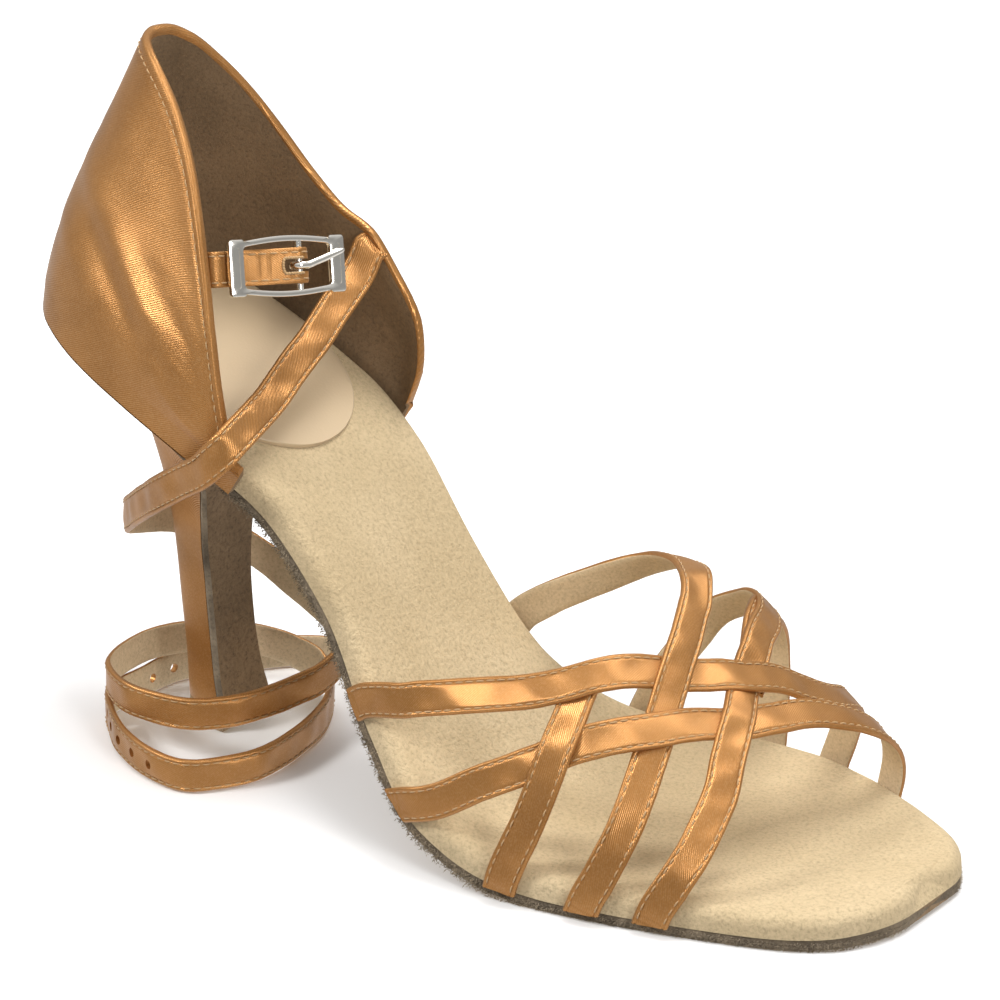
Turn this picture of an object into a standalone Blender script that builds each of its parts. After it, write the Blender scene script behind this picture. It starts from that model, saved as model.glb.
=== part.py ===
"""Right ballroom dance sandal with a slim heel, a closed heel counter and a woven strap vamp.

Metres, +Z up. The origin is the centre of the heel tip's underside, +X points to the toe
and +Y to the inner (medial) side of the foot.
"""
import math

import bmesh
import bpy
import numpy as np
from mathutils import Matrix, Vector

# Sole and last
SOLE_LENGTH = 0.2003        # seat to toe, along the floor
SEAT_BACK = 0.0343          # the seat's back end behind the tip's centre
SEAT_HEIGHT = 0.0945        # top of the insole above the floor at the seat
BALL_WIDTH = 0.0787
SEAT_WIDTH = 0.0519
WAIST_WIDTH = 0.0439
TOE_SPRING = 0.0010
INSTEP_HEIGHT = 0.0425      # top of the vamp straps' form above the insole
INSOLE_THICK = 0.0048
INSOLE_ROUND = 0.0028
OUTSOLE_THICK = 0.0020
OUTSOLE_INSET = 0.0004
SOCK_THICK = 0.0007
SOCK_INSET = 0.0031
FLAP_THICK = 0.0016
GAP = 0.0003                # clearance between pieces that meet

# Heel
TIP_WIDTH = 0.0142
TIP_DEPTH = 0.0125
TIP_THICK = 0.0050
BREAST_STATION = 0.256      # where the heel's front face meets the sole

# Counter
COUNTER_WALL = 0.0020
COUNTER_HEIGHT = 0.0515     # top of the back above the insole
COUNTER_LENGTH = 0.0710     # seat's back end to the inner quarter's foremost point
COUNTER_BULGE = 0.0016

# Straps
STRAP_WIDTH = 0.0070
STRAP_THICK = 0.0013
COIL_REACH = 0.0240         # from the heel's axis to the strap wound round it
HOLE_DIAMETER = 0.0020
HOLE_PITCH = 0.0066

# Buckle
BUCKLE_SEAT = (0.8676, -0.11175, 0.2330)    # its centre bar, in the shares of ANKLE_CROSSING
BUCKLE_HEADING = math.radians(66)
BUCKLE_DIP = math.radians(7.5)
BUCKLE_LEAN = math.radians(20)
BUCKLE_HEIGHT = 0.0112
BUCKLE_BACK = 0.0139        # centre bar to the middle of the strap's bar
BUCKLE_FRONT = 0.0083       # centre bar to the middle of the prong's bar
BAR_WIDTH = 0.0032
BAR_EAR = 0.0004            # how far the bars' ends stand out past the rails
FRAME_THICK = 0.0014
RAIL_WIDTH = 0.0012
RAIL_ARCH = 0.0008
PIN_DIAMETER = 0.0013
PRONG_WIDTH = 0.0015
PRONG_THICK = 0.0010
PRONG_SKEW = 0.0026         # how far its tip lies up the front bar
SLOT_WIDTH = 0.0024
SLOT_BACK = 0.0036          # the slot's ends behind and in front of the centre bar
SLOT_FRONT = 0.0030

BALL_LEVEL = INSOLE_THICK + GAP + OUTSOLE_THICK

# station, rise from ball to seat
SOLE_RISE = [
    (0.000, 1.000), (0.051, 0.979), (0.111, 0.926), (0.171, 0.866), (0.231, 0.801),
    (0.291, 0.731), (0.349, 0.638), (0.397, 0.518), (0.440, 0.383), (0.489, 0.224),
    (0.567, 0.069), (0.640, 0.013), (0.708, 0.000), (1.000, 0.000),
]

# station, width that the shares follow, share to the inner side, share to the outer side
SOLE_WIDTHS = [
    (0.000, SEAT_WIDTH, 0.000, 0.000),
    (0.020, SEAT_WIDTH, 0.220, 0.225),
    (0.060, SEAT_WIDTH, 0.372, 0.378),
    (0.120, SEAT_WIDTH, 0.468, 0.466),
    (0.160, SEAT_WIDTH, 0.492, 0.486),
    (0.203, SEAT_WIDTH, 0.502, 0.493),
    (0.271, SEAT_WIDTH, 0.500, 0.487),
    (0.348, WAIST_WIDTH, 0.540, 0.532),
    (0.417, WAIST_WIDTH, 0.490, 0.525),
    (0.494, WAIST_WIDTH, 0.545, 0.640),
    (0.562, BALL_WIDTH, 0.405, 0.425),
    (0.630, BALL_WIDTH, 0.518, 0.437),
    (0.689, BALL_WIDTH, 0.578, 0.420),
    (0.757, BALL_WIDTH, 0.585, 0.385),
    (0.825, BALL_WIDTH, 0.552, 0.338),
    (0.883, BALL_WIDTH, 0.498, 0.290),
    (0.932, BALL_WIDTH, 0.435, 0.237),
    (0.966, BALL_WIDTH, 0.378, 0.175),
    (0.985, BALL_WIDTH, 0.325, 0.105),
    (1.000, BALL_WIDTH, 0.212, -0.040),
]

# share of the height, then how far front, back and sides have flared from tip to seat
HEEL_FLARES = [
    (0.00, -0.12, 0.000, 0.000),
    (0.10, -0.30, 0.010, -0.025),
    (0.25, -0.44, 0.050, -0.045),
    (0.40, -0.52, 0.090, -0.040),
    (0.52, -0.54, 0.145, -0.010),
    (0.64, -0.48, 0.255, 0.030),
    (0.76, -0.28, 0.410, 0.125),
    (0.86, 0.02, 0.585, 0.340),
    (0.94, 0.44, 0.790, 0.670),
    (1.00, 1.00, 1.000, 1.000),
]

# seat station (outer side negative), then the counter's edge: share of COUNTER_LENGTH
# forward of the seat's back, share of SEAT_WIDTH to the inner side, share of
# COUNTER_HEIGHT above the insole
COUNTER_EDGE = [
    (-0.309, 0.878, -0.505, -0.587),
    (-0.295, 0.849, -0.520, -0.453),
    (-0.266, 0.816, -0.526, -0.208),
    (-0.232, 0.786, -0.515, 0.038),
    (-0.198, 0.744, -0.478, 0.267),
    (-0.164, 0.691, -0.425, 0.473),
    (-0.130, 0.617, -0.352, 0.663),
    (-0.092, 0.525, -0.282, 0.825),
    (-0.052, 0.417, -0.212, 0.942),
    (-0.018, 0.328, -0.120, 0.990),
    (0.000, 0.286, 0.000, 0.998),
    (0.018, 0.294, 0.095, 0.985),
    (0.052, 0.327, 0.180, 0.937),
    (0.092, 0.377, 0.280, 0.825),
    (0.130, 0.438, 0.366, 0.685),
    (0.164, 0.514, 0.430, 0.520),
    (0.198, 0.596, 0.467, 0.368),
    (0.232, 0.687, 0.492, 0.241),
    (0.266, 0.779, 0.502, 0.174),
    (0.290, 0.873, 0.508, 0.010),
    (0.302, 0.948, 0.508, -0.169),
    (0.312, 0.962, 0.494, -0.330),
    (0.320, 0.910, 0.478, -0.560),
]

# share of the counter's height, share of its bulge
COUNTER_BULGES = [
    (0.00, 0.00), (0.08, 0.42), (0.18, 0.78), (0.30, 0.98), (0.42, 1.00),
    (0.56, 0.80), (0.72, 0.46), (0.86, 0.17), (1.00, 0.00),
]

# station, share of INSTEP_HEIGHT
INSTEP = [
    (0.42, 1.04), (0.52, 1.10), (0.60, 1.15), (0.69, 1.13), (0.767, 0.82),
    (0.835, 0.58), (0.90, 0.42), (1.00, 0.25),
]
INSTEP_POWER = 2.25
INSTEP_SKEW = 0.12
STRAP_EASE = 0.0003         # extra room beside the insole, whose outline curves
STRAP_TAIL = 0.0065         # from the insole's edge to a strap's end, before it is cut off

# Vamp straps: station, share of the girth from the outer to the inner side, lift in
# strap thicknesses. A strap that starts at 0 or ends at 1 runs on down the insole's side.
VAMP_STRAPS = {
    "rear_cross": [
        (0.473, 0.000, 0.0), (0.496, 0.045, 0.0), (0.527, 0.099, 0.0), (0.560, 0.152, 0.0),
        (0.614, 0.209, 0.0), (0.658, 0.245, 0.20), (0.692, 0.280, 0.36), (0.716, 0.325, 0.10),
        (0.741, 0.385, -0.36), (0.757, 0.430, -0.20), (0.769, 0.465, 0.20), (0.784, 0.505, 0.36),
        (0.794, 0.545, 0.10), (0.808, 0.600, -0.30), (0.817, 0.680, -0.36), (0.808, 0.790, 0.0),
        (0.790, 0.900, 0.0), (0.771, 1.000, 0.0),
    ],
    "front_cross": [
        (0.545, 0.000, 0.0), (0.587, 0.046, 0.0), (0.626, 0.097, 0.0), (0.662, 0.136, -0.20),
        (0.690, 0.168, -0.36), (0.722, 0.215, 0.10), (0.758, 0.293, 0.36), (0.784, 0.365, 0.0),
        (0.803, 0.422, -0.36), (0.817, 0.480, 0.0), (0.830, 0.540, 0.30), (0.845, 0.610, 0.36),
        (0.856, 0.700, 0.20), (0.858, 0.800, 0.0), (0.855, 0.910, 0.0), (0.849, 1.000, 0.0),
    ],
    "outer_short": [
        (0.660, 0.000, 0.0), (0.678, 0.064, 0.0), (0.688, 0.120, 0.20), (0.692, 0.170, 0.36),
        (0.693, 0.220, 0.0), (0.691, 0.255, -0.30), (0.689, 0.290, -0.36),
    ],
    "rear_upright": [
        (0.745, 0.000, 0.0), (0.758, 0.045, 0.0), (0.769, 0.120, 0.0), (0.770, 0.198, -0.10),
        (0.762, 0.300, -0.36), (0.751, 0.362, 0.10), (0.741, 0.410, 0.36), (0.731, 0.458, 0.20),
        (0.718, 0.502, 0.0), (0.696, 0.550, 0.0), (0.656, 0.628, 0.0), (0.610, 0.717, 0.0),
        (0.560, 0.810, 0.0), (0.517, 0.900, 0.0), (0.489, 0.965, 0.0), (0.475, 1.000, 0.0),
    ],
    "front_upright": [
        (0.812, 0.000, 0.0), (0.826, 0.070, 0.0), (0.835, 0.160, 0.0), (0.832, 0.272, 0.0),
        (0.818, 0.349, 0.20), (0.802, 0.420, 0.36), (0.790, 0.465, -0.10), (0.777, 0.505, -0.36),
        (0.765, 0.545, -0.10), (0.754, 0.585, 0.0), (0.740, 0.650, 0.0), (0.718, 0.715, 0.0),
        (0.688, 0.765, 0.0), (0.649, 0.816, 0.0), (0.622, 0.882, 0.0), (0.601, 0.940, 0.0),
        (0.584, 1.000, 0.0),
    ],
    "inner_short": [
        (0.786, 0.495, -0.66), (0.766, 0.550, -0.66), (0.742, 0.625, -0.60), (0.720, 0.720, -0.20),
        (0.706, 0.830, 0.0), (0.699, 0.930, 0.0), (0.697, 1.000, 0.0),
    ],
}
VAMP_ROWS = 34
TAIL_ROWS = 3

# Where the ankle strap starts at the top of the inner quarter and the buckle strap lies
# inside the outer one: shares of COUNTER_LENGTH forward of the seat's back and of
# COUNTER_HEIGHT above it
ANKLE_STRAP_START = (0.800, 0.122)
ANKLE_START_LEAN = 50       # degrees, along the quarter's top edge
BUCKLE_STRAP_START = [(0.560, 0.258), (0.620, 0.256), (0.680, 0.254)]

# Ankle strap from there over the foot to the outer side: the middle of its width in shares
# of COUNTER_LENGTH forward of the seat's back, SEAT_WIDTH to the inner side and
# COUNTER_HEIGHT above the insole, then how far its width leans back in degrees
ANKLE_CROSSING = [
    (0.796, 0.366, 0.029, 50), (0.806, 0.204, -0.058, 47), (0.817, 0.063, -0.135, 44),
    (0.832, -0.082, -0.187, 42), (0.856, -0.270, -0.260, 40), (0.878, -0.412, -0.288, 38),
    (0.892, -0.545, -0.318, 32), (0.886, -0.607, -0.353, 20), (0.852, -0.628, -0.406, 8),
    (0.799, -0.620, -0.472, 0),
]

# Its winding round the heel, clockwise from above: angle from the toe in degrees, share
# of COIL_REACH, height of the lower edge in strap widths
ANKLE_WINDING = [
    (-62, 1.425, 8.95), (-78, 1.120, 7.95), (-117, 0.770, 6.55), (-162, 0.780, 5.50),
    (-205, 0.740, 4.90), (-245, 0.620, 4.25), (-277, 0.680, 3.60), (-293, 0.870, 2.75),
    (-310, 1.050, 2.00), (-325, 1.060, 1.50), (-345, 0.960, 1.26), (-362, 0.875, 1.16),
    (-389, 0.896, 1.12), (-410, 0.965, 1.10), (-430, 1.010, 1.10), (-460, 1.000, 1.10),
    (-485, 0.975, 1.10), (-503, 0.910, 1.10), (-528, 0.800, 1.10), (-547, 0.735, 1.10),
    (-575, 0.660, 1.10), (-605, 0.610, 1.10), (-630, 0.640, 1.08), (-647, 0.790, 0.80),
    (-656, 0.930, 0.42), (-668, 0.970, 0.16), (-683, 0.945, 0.06), (-707, 0.975, 0.05),
    (-735, 1.120, 0.05), (-757, 1.370, 0.05), (-774, 1.520, 0.05), (-784, 1.545, 0.05),
    (-797, 1.390, 0.05), (-814, 1.190, 0.05), (-835, 1.025, 0.05), (-861, 0.945, 0.05),
    (-888, 0.765, 0.05), (-910, 0.760, 0.05), (-930, 0.780, 0.05), (-970, 0.940, 0.05),
    (-986, 1.160, 0.05), (-998, 1.330, 0.05), (-1010, 1.560, 0.05),
]
HOLE_COUNT = 9
FIRST_HOLE = 0.0440         # from the strap's free end

# The buckle strap's fold round the centre bar, in the buckle's own frame: share of
# BUCKLE_BACK behind the bar, strap thicknesses out of the frame's plane, strap
# thicknesses thick
BUCKLE_FOLD = [
    (1.30, -1.38, 1.00), (1.08, -1.38, 1.00), (0.88, -1.36, 1.00), (0.70, -1.15, 1.45),
    (0.50, -0.85, 1.90), (0.32, -0.45, 2.30), (0.16, -0.12, 3.00), (0.05, 0.00, 3.36),
    (-0.03, 0.00, 3.30), (-0.09, 0.00, 2.75), (-0.13, 0.00, 1.90), (-0.155, 0.00, 0.90),
]


def smooth(table, column, knots=None):
    """A curve without overshoot through one column of a table."""
    x = np.array([row[0] for row in table] if knots is None else knots, float)
    y = np.array([row[column] for row in table], float)
    steps = np.diff(x)
    slopes = np.diff(y) / steps
    tangents = np.zeros(len(x))
    tangents[0], tangents[-1] = slopes[0], slopes[-1]
    for i in range(1, len(x) - 1):
        if slopes[i - 1] * slopes[i] > 0:
            before, after = steps[i - 1] + 2 * steps[i], 2 * steps[i - 1] + steps[i]
            tangents[i] = (before + after) / (before / slopes[i] + after / slopes[i - 1])

    def curve(at):
        at = np.asarray(at, float)
        k = np.clip(np.searchsorted(x, at) - 1, 0, len(steps) - 1)
        s = (np.clip(at, x[0], x[-1]) - x[k]) / steps[k]
        return (
            y[k] * (1 + 2 * s) * (1 - s) ** 2
            + tangents[k] * steps[k] * s * (1 - s) ** 2
            + y[k + 1] * s**2 * (3 - 2 * s)
            + tangents[k + 1] * steps[k] * s**2 * (s - 1)
        )

    return curve


def flowing(points, count):
    """Points on a round curve through the given ones, evenly spread by their first three
    columns."""
    points = np.array(points, float)
    ends = np.vstack([2 * points[0] - points[1], points, 2 * points[-1] - points[-2]])
    fine = []
    for a, b, c, d in zip(ends, ends[1:], ends[2:], ends[3:]):
        for s in np.linspace(0, 1, 16, endpoint=False):
            fine.append(
                0.5 * (2 * b + (c - a) * s + (2 * a - 5 * b + 4 * c - d) * s**2
                       + (3 * b - 3 * c + d - a) * s**3)
            )
    fine = np.array(fine + [points[-1]])
    along = distance_along(fine[:, :3])
    even = np.linspace(0, along[-1], count)
    return np.stack([np.interp(even, along, fine[:, k]) for k in range(fine.shape[1])], 1)


def distance_along(points):
    return np.concatenate([[0], np.cumsum(np.linalg.norm(np.diff(points, axis=0), axis=1))])


def unit(vectors):
    return vectors / np.linalg.norm(vectors, axis=-1, keepdims=True)


# The sole's centre line: stations a little past both ends, so that offsets have room
OVERRUN = 0.06
STATIONS = np.linspace(-OVERRUN, 1 + OVERRUN, 561)
RISE_BLEND = 19             # stations that the rise is averaged over
SPRING_START = 0.88


def sole_line():
    rise = smooth(SOLE_RISE, 1)(STATIONS)
    padded = np.pad(rise, RISE_BLEND // 2, mode="edge")
    rise = np.convolve(padded, np.ones(RISE_BLEND) / RISE_BLEND, mode="valid")
    spring = TOE_SPRING * np.clip((STATIONS - SPRING_START) / (1 - SPRING_START), 0, None) ** 2
    x = STATIONS * SOLE_LENGTH - SEAT_BACK
    z = BALL_LEVEL + rise * (SEAT_HEIGHT - BALL_LEVEL) + spring
    along = np.concatenate([[0], np.cumsum(np.hypot(np.diff(x), np.diff(z)))])
    slope = unit(np.stack([np.gradient(x), np.gradient(z)], 1))
    return x, z, along, slope


LINE_X, LINE_Z, LINE_ALONG, LINE_SLOPE = sole_line()


def end_angle(station):
    """Stations as an angle, in which round ends have straight sides."""
    return np.arccos(np.clip(1 - 2 * np.asarray(station, float), -1, 1))


WIDTH_KNOTS = end_angle([row[0] for row in SOLE_WIDTHS])
WIDTH_ROWS = [(0, row[1] * row[2], row[1] * row[3]) for row in SOLE_WIDTHS]
inner_width = smooth(WIDTH_ROWS, 1, WIDTH_KNOTS)
outer_width = smooth(WIDTH_ROWS, 2, WIDTH_KNOTS)


def on_sole(station, across, depth):
    """A point below the insole's top by depth, square to the sole."""
    slope_x = np.interp(station, STATIONS, LINE_SLOPE[:, 0])
    slope_z = np.interp(station, STATIONS, LINE_SLOPE[:, 1])
    x = np.interp(station, STATIONS, LINE_X) + slope_z * depth
    z = np.interp(station, STATIONS, LINE_Z) - slope_x * depth
    return np.stack(np.broadcast_arrays(x, across, z), -1)


def edge(angles, side, grow):
    """The insole's outline on one side (+1 inner, -1 outer), grown outwards: stations and
    places across."""
    angles = np.asarray(angles, float)
    step = 0.01
    width = inner_width if side > 0 else outer_width

    def flat(angle):
        station = (1 - np.cos(angle)) / 2
        return np.stack([np.interp(station, STATIONS, LINE_ALONG), side * width(angle)], -1)

    place = flat(angles)
    low, high = np.clip(angles - step, 0, math.pi), np.clip(angles + step, 0, math.pi)
    along = unit(flat(high) - flat(low))
    along[angles < step] = (0, side)
    along[angles > math.pi - step] = (0, -side)
    grown = place + grow * side * np.stack([-along[:, 1], along[:, 0]], -1)
    return np.interp(grown[:, 0], LINE_ALONG, STATIONS), grown[:, 1]


def sole_grid(angles, grow, depth, columns):
    """Rows across the sole from its outer to its inner edge."""
    outer = edge(angles, -1, grow)
    inner = edge(angles, 1, grow)
    share = np.linspace(0, 1, columns + 1)[None, :]
    station = outer[0][:, None] * (1 - share) + inner[0][:, None] * share
    across = outer[1][:, None] * (1 - share) + inner[1][:, None] * share
    return on_sole(station, across, depth)


def plate(name, layers):
    """One closed body between the first and last grid, its sides through the others."""
    rows, columns = layers[0].shape[:2]
    ring = [(0, c) for c in range(columns)] + [(r, columns - 1) for r in range(1, rows)]
    ring += [(rows - 1, c) for c in range(columns - 2, -1, -1)]
    ring += [(r, 0) for r in range(rows - 2, 0, -1)]
    build = bmesh.new()

    def skin(grid):
        points = {(r, c): build.verts.new(grid[r, c]) for r in range(rows) for c in range(columns)}
        for r in range(rows - 1):
            for c in range(columns - 1):
                build.faces.new([points[r, c], points[r, c + 1], points[r + 1, c + 1], points[r + 1, c]])
        return [points[key] for key in ring]

    loops = [skin(layers[0])]
    loops += [[build.verts.new(layer[key]) for key in ring] for layer in layers[1:-1]]
    loops.append(skin(layers[-1]))
    for upper, lower in zip(loops, loops[1:]):
        for k in range(len(ring)):
            j = (k + 1) % len(ring)
            build.faces.new([upper[k], upper[j], lower[j], lower[k]])
    bmesh.ops.remove_doubles(build, verts=build.verts, dist=1e-6)
    bmesh.ops.dissolve_degenerate(build, dist=1e-7, edges=build.edges)
    return from_bmesh(name, build)


def node(name, mesh, material, matrix=None):
    piece = bpy.data.objects.new(name, mesh)
    bpy.context.collection.objects.link(piece)
    if matrix is not None:
        mesh.transform(matrix.inverted())
        piece.matrix_world = matrix
    if material:
        mesh.materials.append(material)
    mesh.shade_smooth()
    mesh.set_sharp_from_angle(angle=math.radians(35))
    return piece


def tool(name, mesh):
    """A shape that only cuts or joins another."""
    piece = node(name, mesh, None)
    piece.hide_render = True
    piece.display_type = "WIRE"
    return piece


def combine(piece, other, operation):
    change = piece.modifiers.new(other.name, "BOOLEAN")
    change.operation = operation
    change.object = other
    change.solver = "EXACT"


def finish(name, colour, roughness, metallic=0.0):
    material = bpy.data.materials.new(name)
    material.use_nodes = True
    shader = material.node_tree.nodes["Principled BSDF"]
    shader.inputs["Base Color"].default_value = (*colour, 1)
    shader.inputs["Roughness"].default_value = roughness
    shader.inputs["Metallic"].default_value = metallic
    return material


def band(points, faces, width, thick):
    """Grids of a flat strap: its middle line, the directions that it faces, its size."""
    along = unit(np.gradient(points, axis=0))
    side = unit(np.cross(faces, along))
    face = np.cross(along, side) * (np.broadcast_to(thick, len(points)) / 2)[:, None]
    share = np.array([-0.5, 0.5])[None, :, None]
    middle = points[:, None, :] + share * width * side[:, None, :]
    return [middle + face[:, None, :], middle - face[:, None, :]]


def leaning_faces(points, lean):
    """Facing directions of a strap along the points, its width upright or leaning back by
    some degrees."""
    along = unit(np.gradient(points, axis=0))
    lean = np.radians(lean)
    width = np.stack([-np.sin(lean), np.zeros(len(lean)), np.cos(lean)], -1)
    return unit(np.cross(along, width))


# The insole, sock and outsole
SOLE_ANGLES = np.linspace(0, math.pi, 38)
SOLE_COLUMNS = 6


def insole_layers():
    turns = np.radians([0, 30, 60, 90])
    grows = [-INSOLE_ROUND * (1 - math.sin(a)) for a in turns]
    depths = [INSOLE_ROUND * (1 - math.cos(a)) for a in turns]
    grows.append(0.0)
    depths.append(INSOLE_THICK)
    return [sole_grid(SOLE_ANGLES, g, d, SOLE_COLUMNS) for g, d in zip(grows, depths)]


SOCK_END = 0.318            # station of the sock's round front
SOCK_TURN = 0.190           # station where its sides start to curve in
SOCK_POWER = 2.2            # roundness of the front
SOCK_TIP = 0.002            # share of its width left at the very front
SOCK_ROWS = 19


def sock_layers():
    spread = (1 - np.cos(np.linspace(0, math.pi, SOCK_ROWS))) / 2
    angles = end_angle(SOCK_END * spread)
    grids = []
    for depth in (-GAP - SOCK_THICK, -GAP):
        grid = sole_grid(angles, -SOCK_INSET, 0, SOLE_COLUMNS)
        station = (grid[:, :, 0] + SEAT_BACK) / SOLE_LENGTH
        middle = station.mean(axis=1)
        curve = np.clip((middle - SOCK_TURN) / (middle[-1] - SOCK_TURN), 0, 1)
        keep = np.clip(1 - curve**SOCK_POWER, SOCK_TIP, 1) ** (1 / SOCK_POWER)
        centre = grid[:, :, 1].mean(axis=1, keepdims=True)
        across = centre + (grid[:, :, 1] - centre) * keep[:, None]
        grids.append(on_sole(station, across, depth))
    return grids


HEEL_GROW = GAP + COUNTER_WALL
HEEL_ROWS = 14
HEEL_COLUMNS = 6
TIP_POWER = 2.4
FLARE = [smooth(HEEL_FLARES, k) for k in (1, 2, 3)]


def heel_angles():
    return np.linspace(end_angle(BREAST_STATION), 0, HEEL_ROWS)


TIP_STRAIGHTNESS = 0.8      # crowding of the tip's rows towards its straight front


def tip_grid(columns):
    """The heel's section at the tip: straight in front and round at the back, in the
    rows of the seat."""
    share = (1 - np.cos(np.linspace(0, math.pi, HEEL_ROWS))) / 2
    share = 0.5 * share + 0.5 * np.linspace(0, 1, HEEL_ROWS) ** TIP_STRAIGHTNESS
    x = TIP_DEPTH / 2 - share * TIP_DEPTH
    half = TIP_WIDTH / 2 * np.clip(1 - share**TIP_POWER, 0, 1) ** (1 / TIP_POWER)
    across = np.linspace(-1, 1, columns + 1)[None, :] * half[:, None]
    return np.broadcast_to(x[:, None], across.shape), across


def heel_layer(share, columns):
    """The heel's section at a share of its height."""
    seat = sole_grid(heel_angles(), HEEL_GROW, INSOLE_THICK + GAP, columns)
    tip_x, tip_y = tip_grid(columns)
    front, back, side = (flare(share) for flare in FLARE)
    front_x = tip_x[0] + (seat[0, :, 0] - tip_x[0]) * front
    back_x = tip_x[-1] + (seat[-1, :, 0] - tip_x[-1]) * back
    blend = max(side, 0.0)
    seat_share = (seat[:, :, 0] - seat[0, :, 0]) / (seat[-1, :, 0] - seat[0, :, 0])
    tip_share = (tip_x - tip_x[0]) / (tip_x[-1] - tip_x[0])
    rows = tip_share + (seat_share - tip_share) * blend
    x = front_x + rows * (back_x - front_x)
    y = tip_y + (seat[:, :, 1] - tip_y) * side
    base = TIP_THICK + GAP
    z = base + (seat[:, :, 2] - base) * share
    return np.stack([x, y, z], -1)


def heel_layers():
    return [heel_layer(row[0], HEEL_COLUMNS) for row in reversed(HEEL_FLARES)]


TIP_BEVEL = 0.0005
TIP_BEVEL_HEIGHT = 0.0006


def tip_layers():
    grids = []
    for height, bevel in ((TIP_THICK, 0.0), (TIP_BEVEL_HEIGHT, 0.0), (0.0, TIP_BEVEL)):
        x, y = tip_grid(HEEL_COLUMNS)
        shrink = 1 - bevel / (TIP_WIDTH / 2)
        grids.append(np.stack([x * shrink, y * shrink, np.full_like(y, height)], -1))
    return grids


FLAP_ROWS = 13
TOE_ROWS = 34
FLAP_TOP = 0.985            # share of the heel's height where the flap's back starts
FLAP_BEND = math.radians(38)    # slope of the sole where it turns down into the flap
FLAP_TURN = 0.01            # shares of the heel's height and of the sole left for that turn
UPPER_TURN = 0.003
LOWER_TURN = 0.004


def outsole_layers():
    """The sole from the toe to the heel's front face, and its flap down that face."""
    top_depth = INSOLE_THICK + GAP
    low_depth = top_depth + OUTSOLE_THICK

    def rows(depth, station):
        angles = np.linspace(math.pi, end_angle(station), TOE_ROWS)
        return sole_grid(angles, -OUTSOLE_INSET, depth, SOLE_COLUMNS)

    def flap(shares, distance, width_shares=None):
        fronts = np.array([heel_layer(share, SOLE_COLUMNS)[0] for share in shares])
        if width_shares is not None:
            widths = np.array([heel_layer(share, SOLE_COLUMNS)[0] for share in width_shares])
            sole_edge = rows(low_depth, BREAST_STATION)[-1, :, 1]
            wide = np.abs(widths[..., 1]) > np.abs(sole_edge)
            fronts[..., 1] = np.where(wide, sole_edge, widths[..., 1])
        slope = unit(np.gradient(fronts, axis=0))
        face = np.stack([-slope[..., 2], np.zeros(slope.shape[:2]), slope[..., 0]], -1)
        return fronts + face * distance

    def above_sole(point):
        stations = np.linspace(BREAST_STATION - 0.1, BREAST_STATION + 0.1, 200)
        line = on_sole(stations, 0.0, low_depth)
        return point[2] - np.interp(point[0], line[:, 0], line[:, 2])

    middle = SOLE_COLUMNS // 2
    tries = np.linspace(1.0, 0.6, 81)
    fronts = flap(tries, GAP + FLAP_THICK)[:, middle]
    corner = next(k for k in range(3, len(tries)) if above_sole(fronts[k]) < 0)
    corner_station = (fronts[corner][0] + SEAT_BACK) / SOLE_LENGTH
    joint_station = corner_station - low_depth * math.sin(FLAP_BEND) / SOLE_LENGTH
    low_shares = np.linspace(tries[corner] - FLAP_TURN, 0.0, FLAP_ROWS)
    top_shares = np.linspace(FLAP_TOP, 0.0, FLAP_ROWS)
    backs = flap(top_shares, GAP, low_shares)
    fronts = flap(low_shares, GAP + FLAP_THICK, low_shares)
    upper = np.concatenate([rows(top_depth, BREAST_STATION + UPPER_TURN), backs])
    lower = np.concatenate([rows(low_depth, joint_station + LOWER_TURN), fronts])
    return [upper, lower]


# The counter
COUNTER_SIDE_BULGE = 0.90   # share of the bulge at the sides
COUNTER_LOWEST = 0.0010     # height of its front corners above the insole
COUNTER_CROWDING = 0.3      # how much closer its rows lie at the front
COUNTER_LOW_FORM = 0.35     # share of its height below which the bulge fades
COUNTER_SQUARE = 0.25       # share of each side where the wall turns square to the sole
COUNTER_ROWS = 43
COUNTER_LEVELS = 10


def counter_surface():
    """Its rows from the outer front round the back to the inner front: how far each has
    turned round the seat and its point on the top edge."""
    knots = [row[0] for row in COUNTER_EDGE]
    reach = smooth(COUNTER_EDGE, 1)
    across = smooth(COUNTER_EDGE, 2)
    height = smooth(COUNTER_EDGE, 3)
    low, high = end_angle(-knots[0]), end_angle(knots[-1])
    spread = np.linspace(-1, 1, COUNTER_ROWS)
    spread = (1 + COUNTER_CROWDING) * spread - COUNTER_CROWDING * spread**3
    turns = np.where(spread < 0, low, high) * spread
    stations = np.sign(turns) * (1 - np.cos(turns)) / 2
    top = np.stack([
        reach(stations) * COUNTER_LENGTH - SEAT_BACK,
        across(stations) * SEAT_WIDTH,
        height(stations) * COUNTER_HEIGHT + SEAT_HEIGHT,
    ], -1)
    return turns, top


def seat_point(turns, grow, depth):
    """Points round the seat's outline, outer side for negative turns."""
    outer = edge(np.abs(turns), -1, grow)
    inner = edge(np.abs(turns), 1, grow)
    is_inner = turns > 0
    station = np.where(is_inner, inner[0], outer[0])
    across = np.where(is_inner, inner[1], outer[1])
    return on_sole(station, across, depth)


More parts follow.
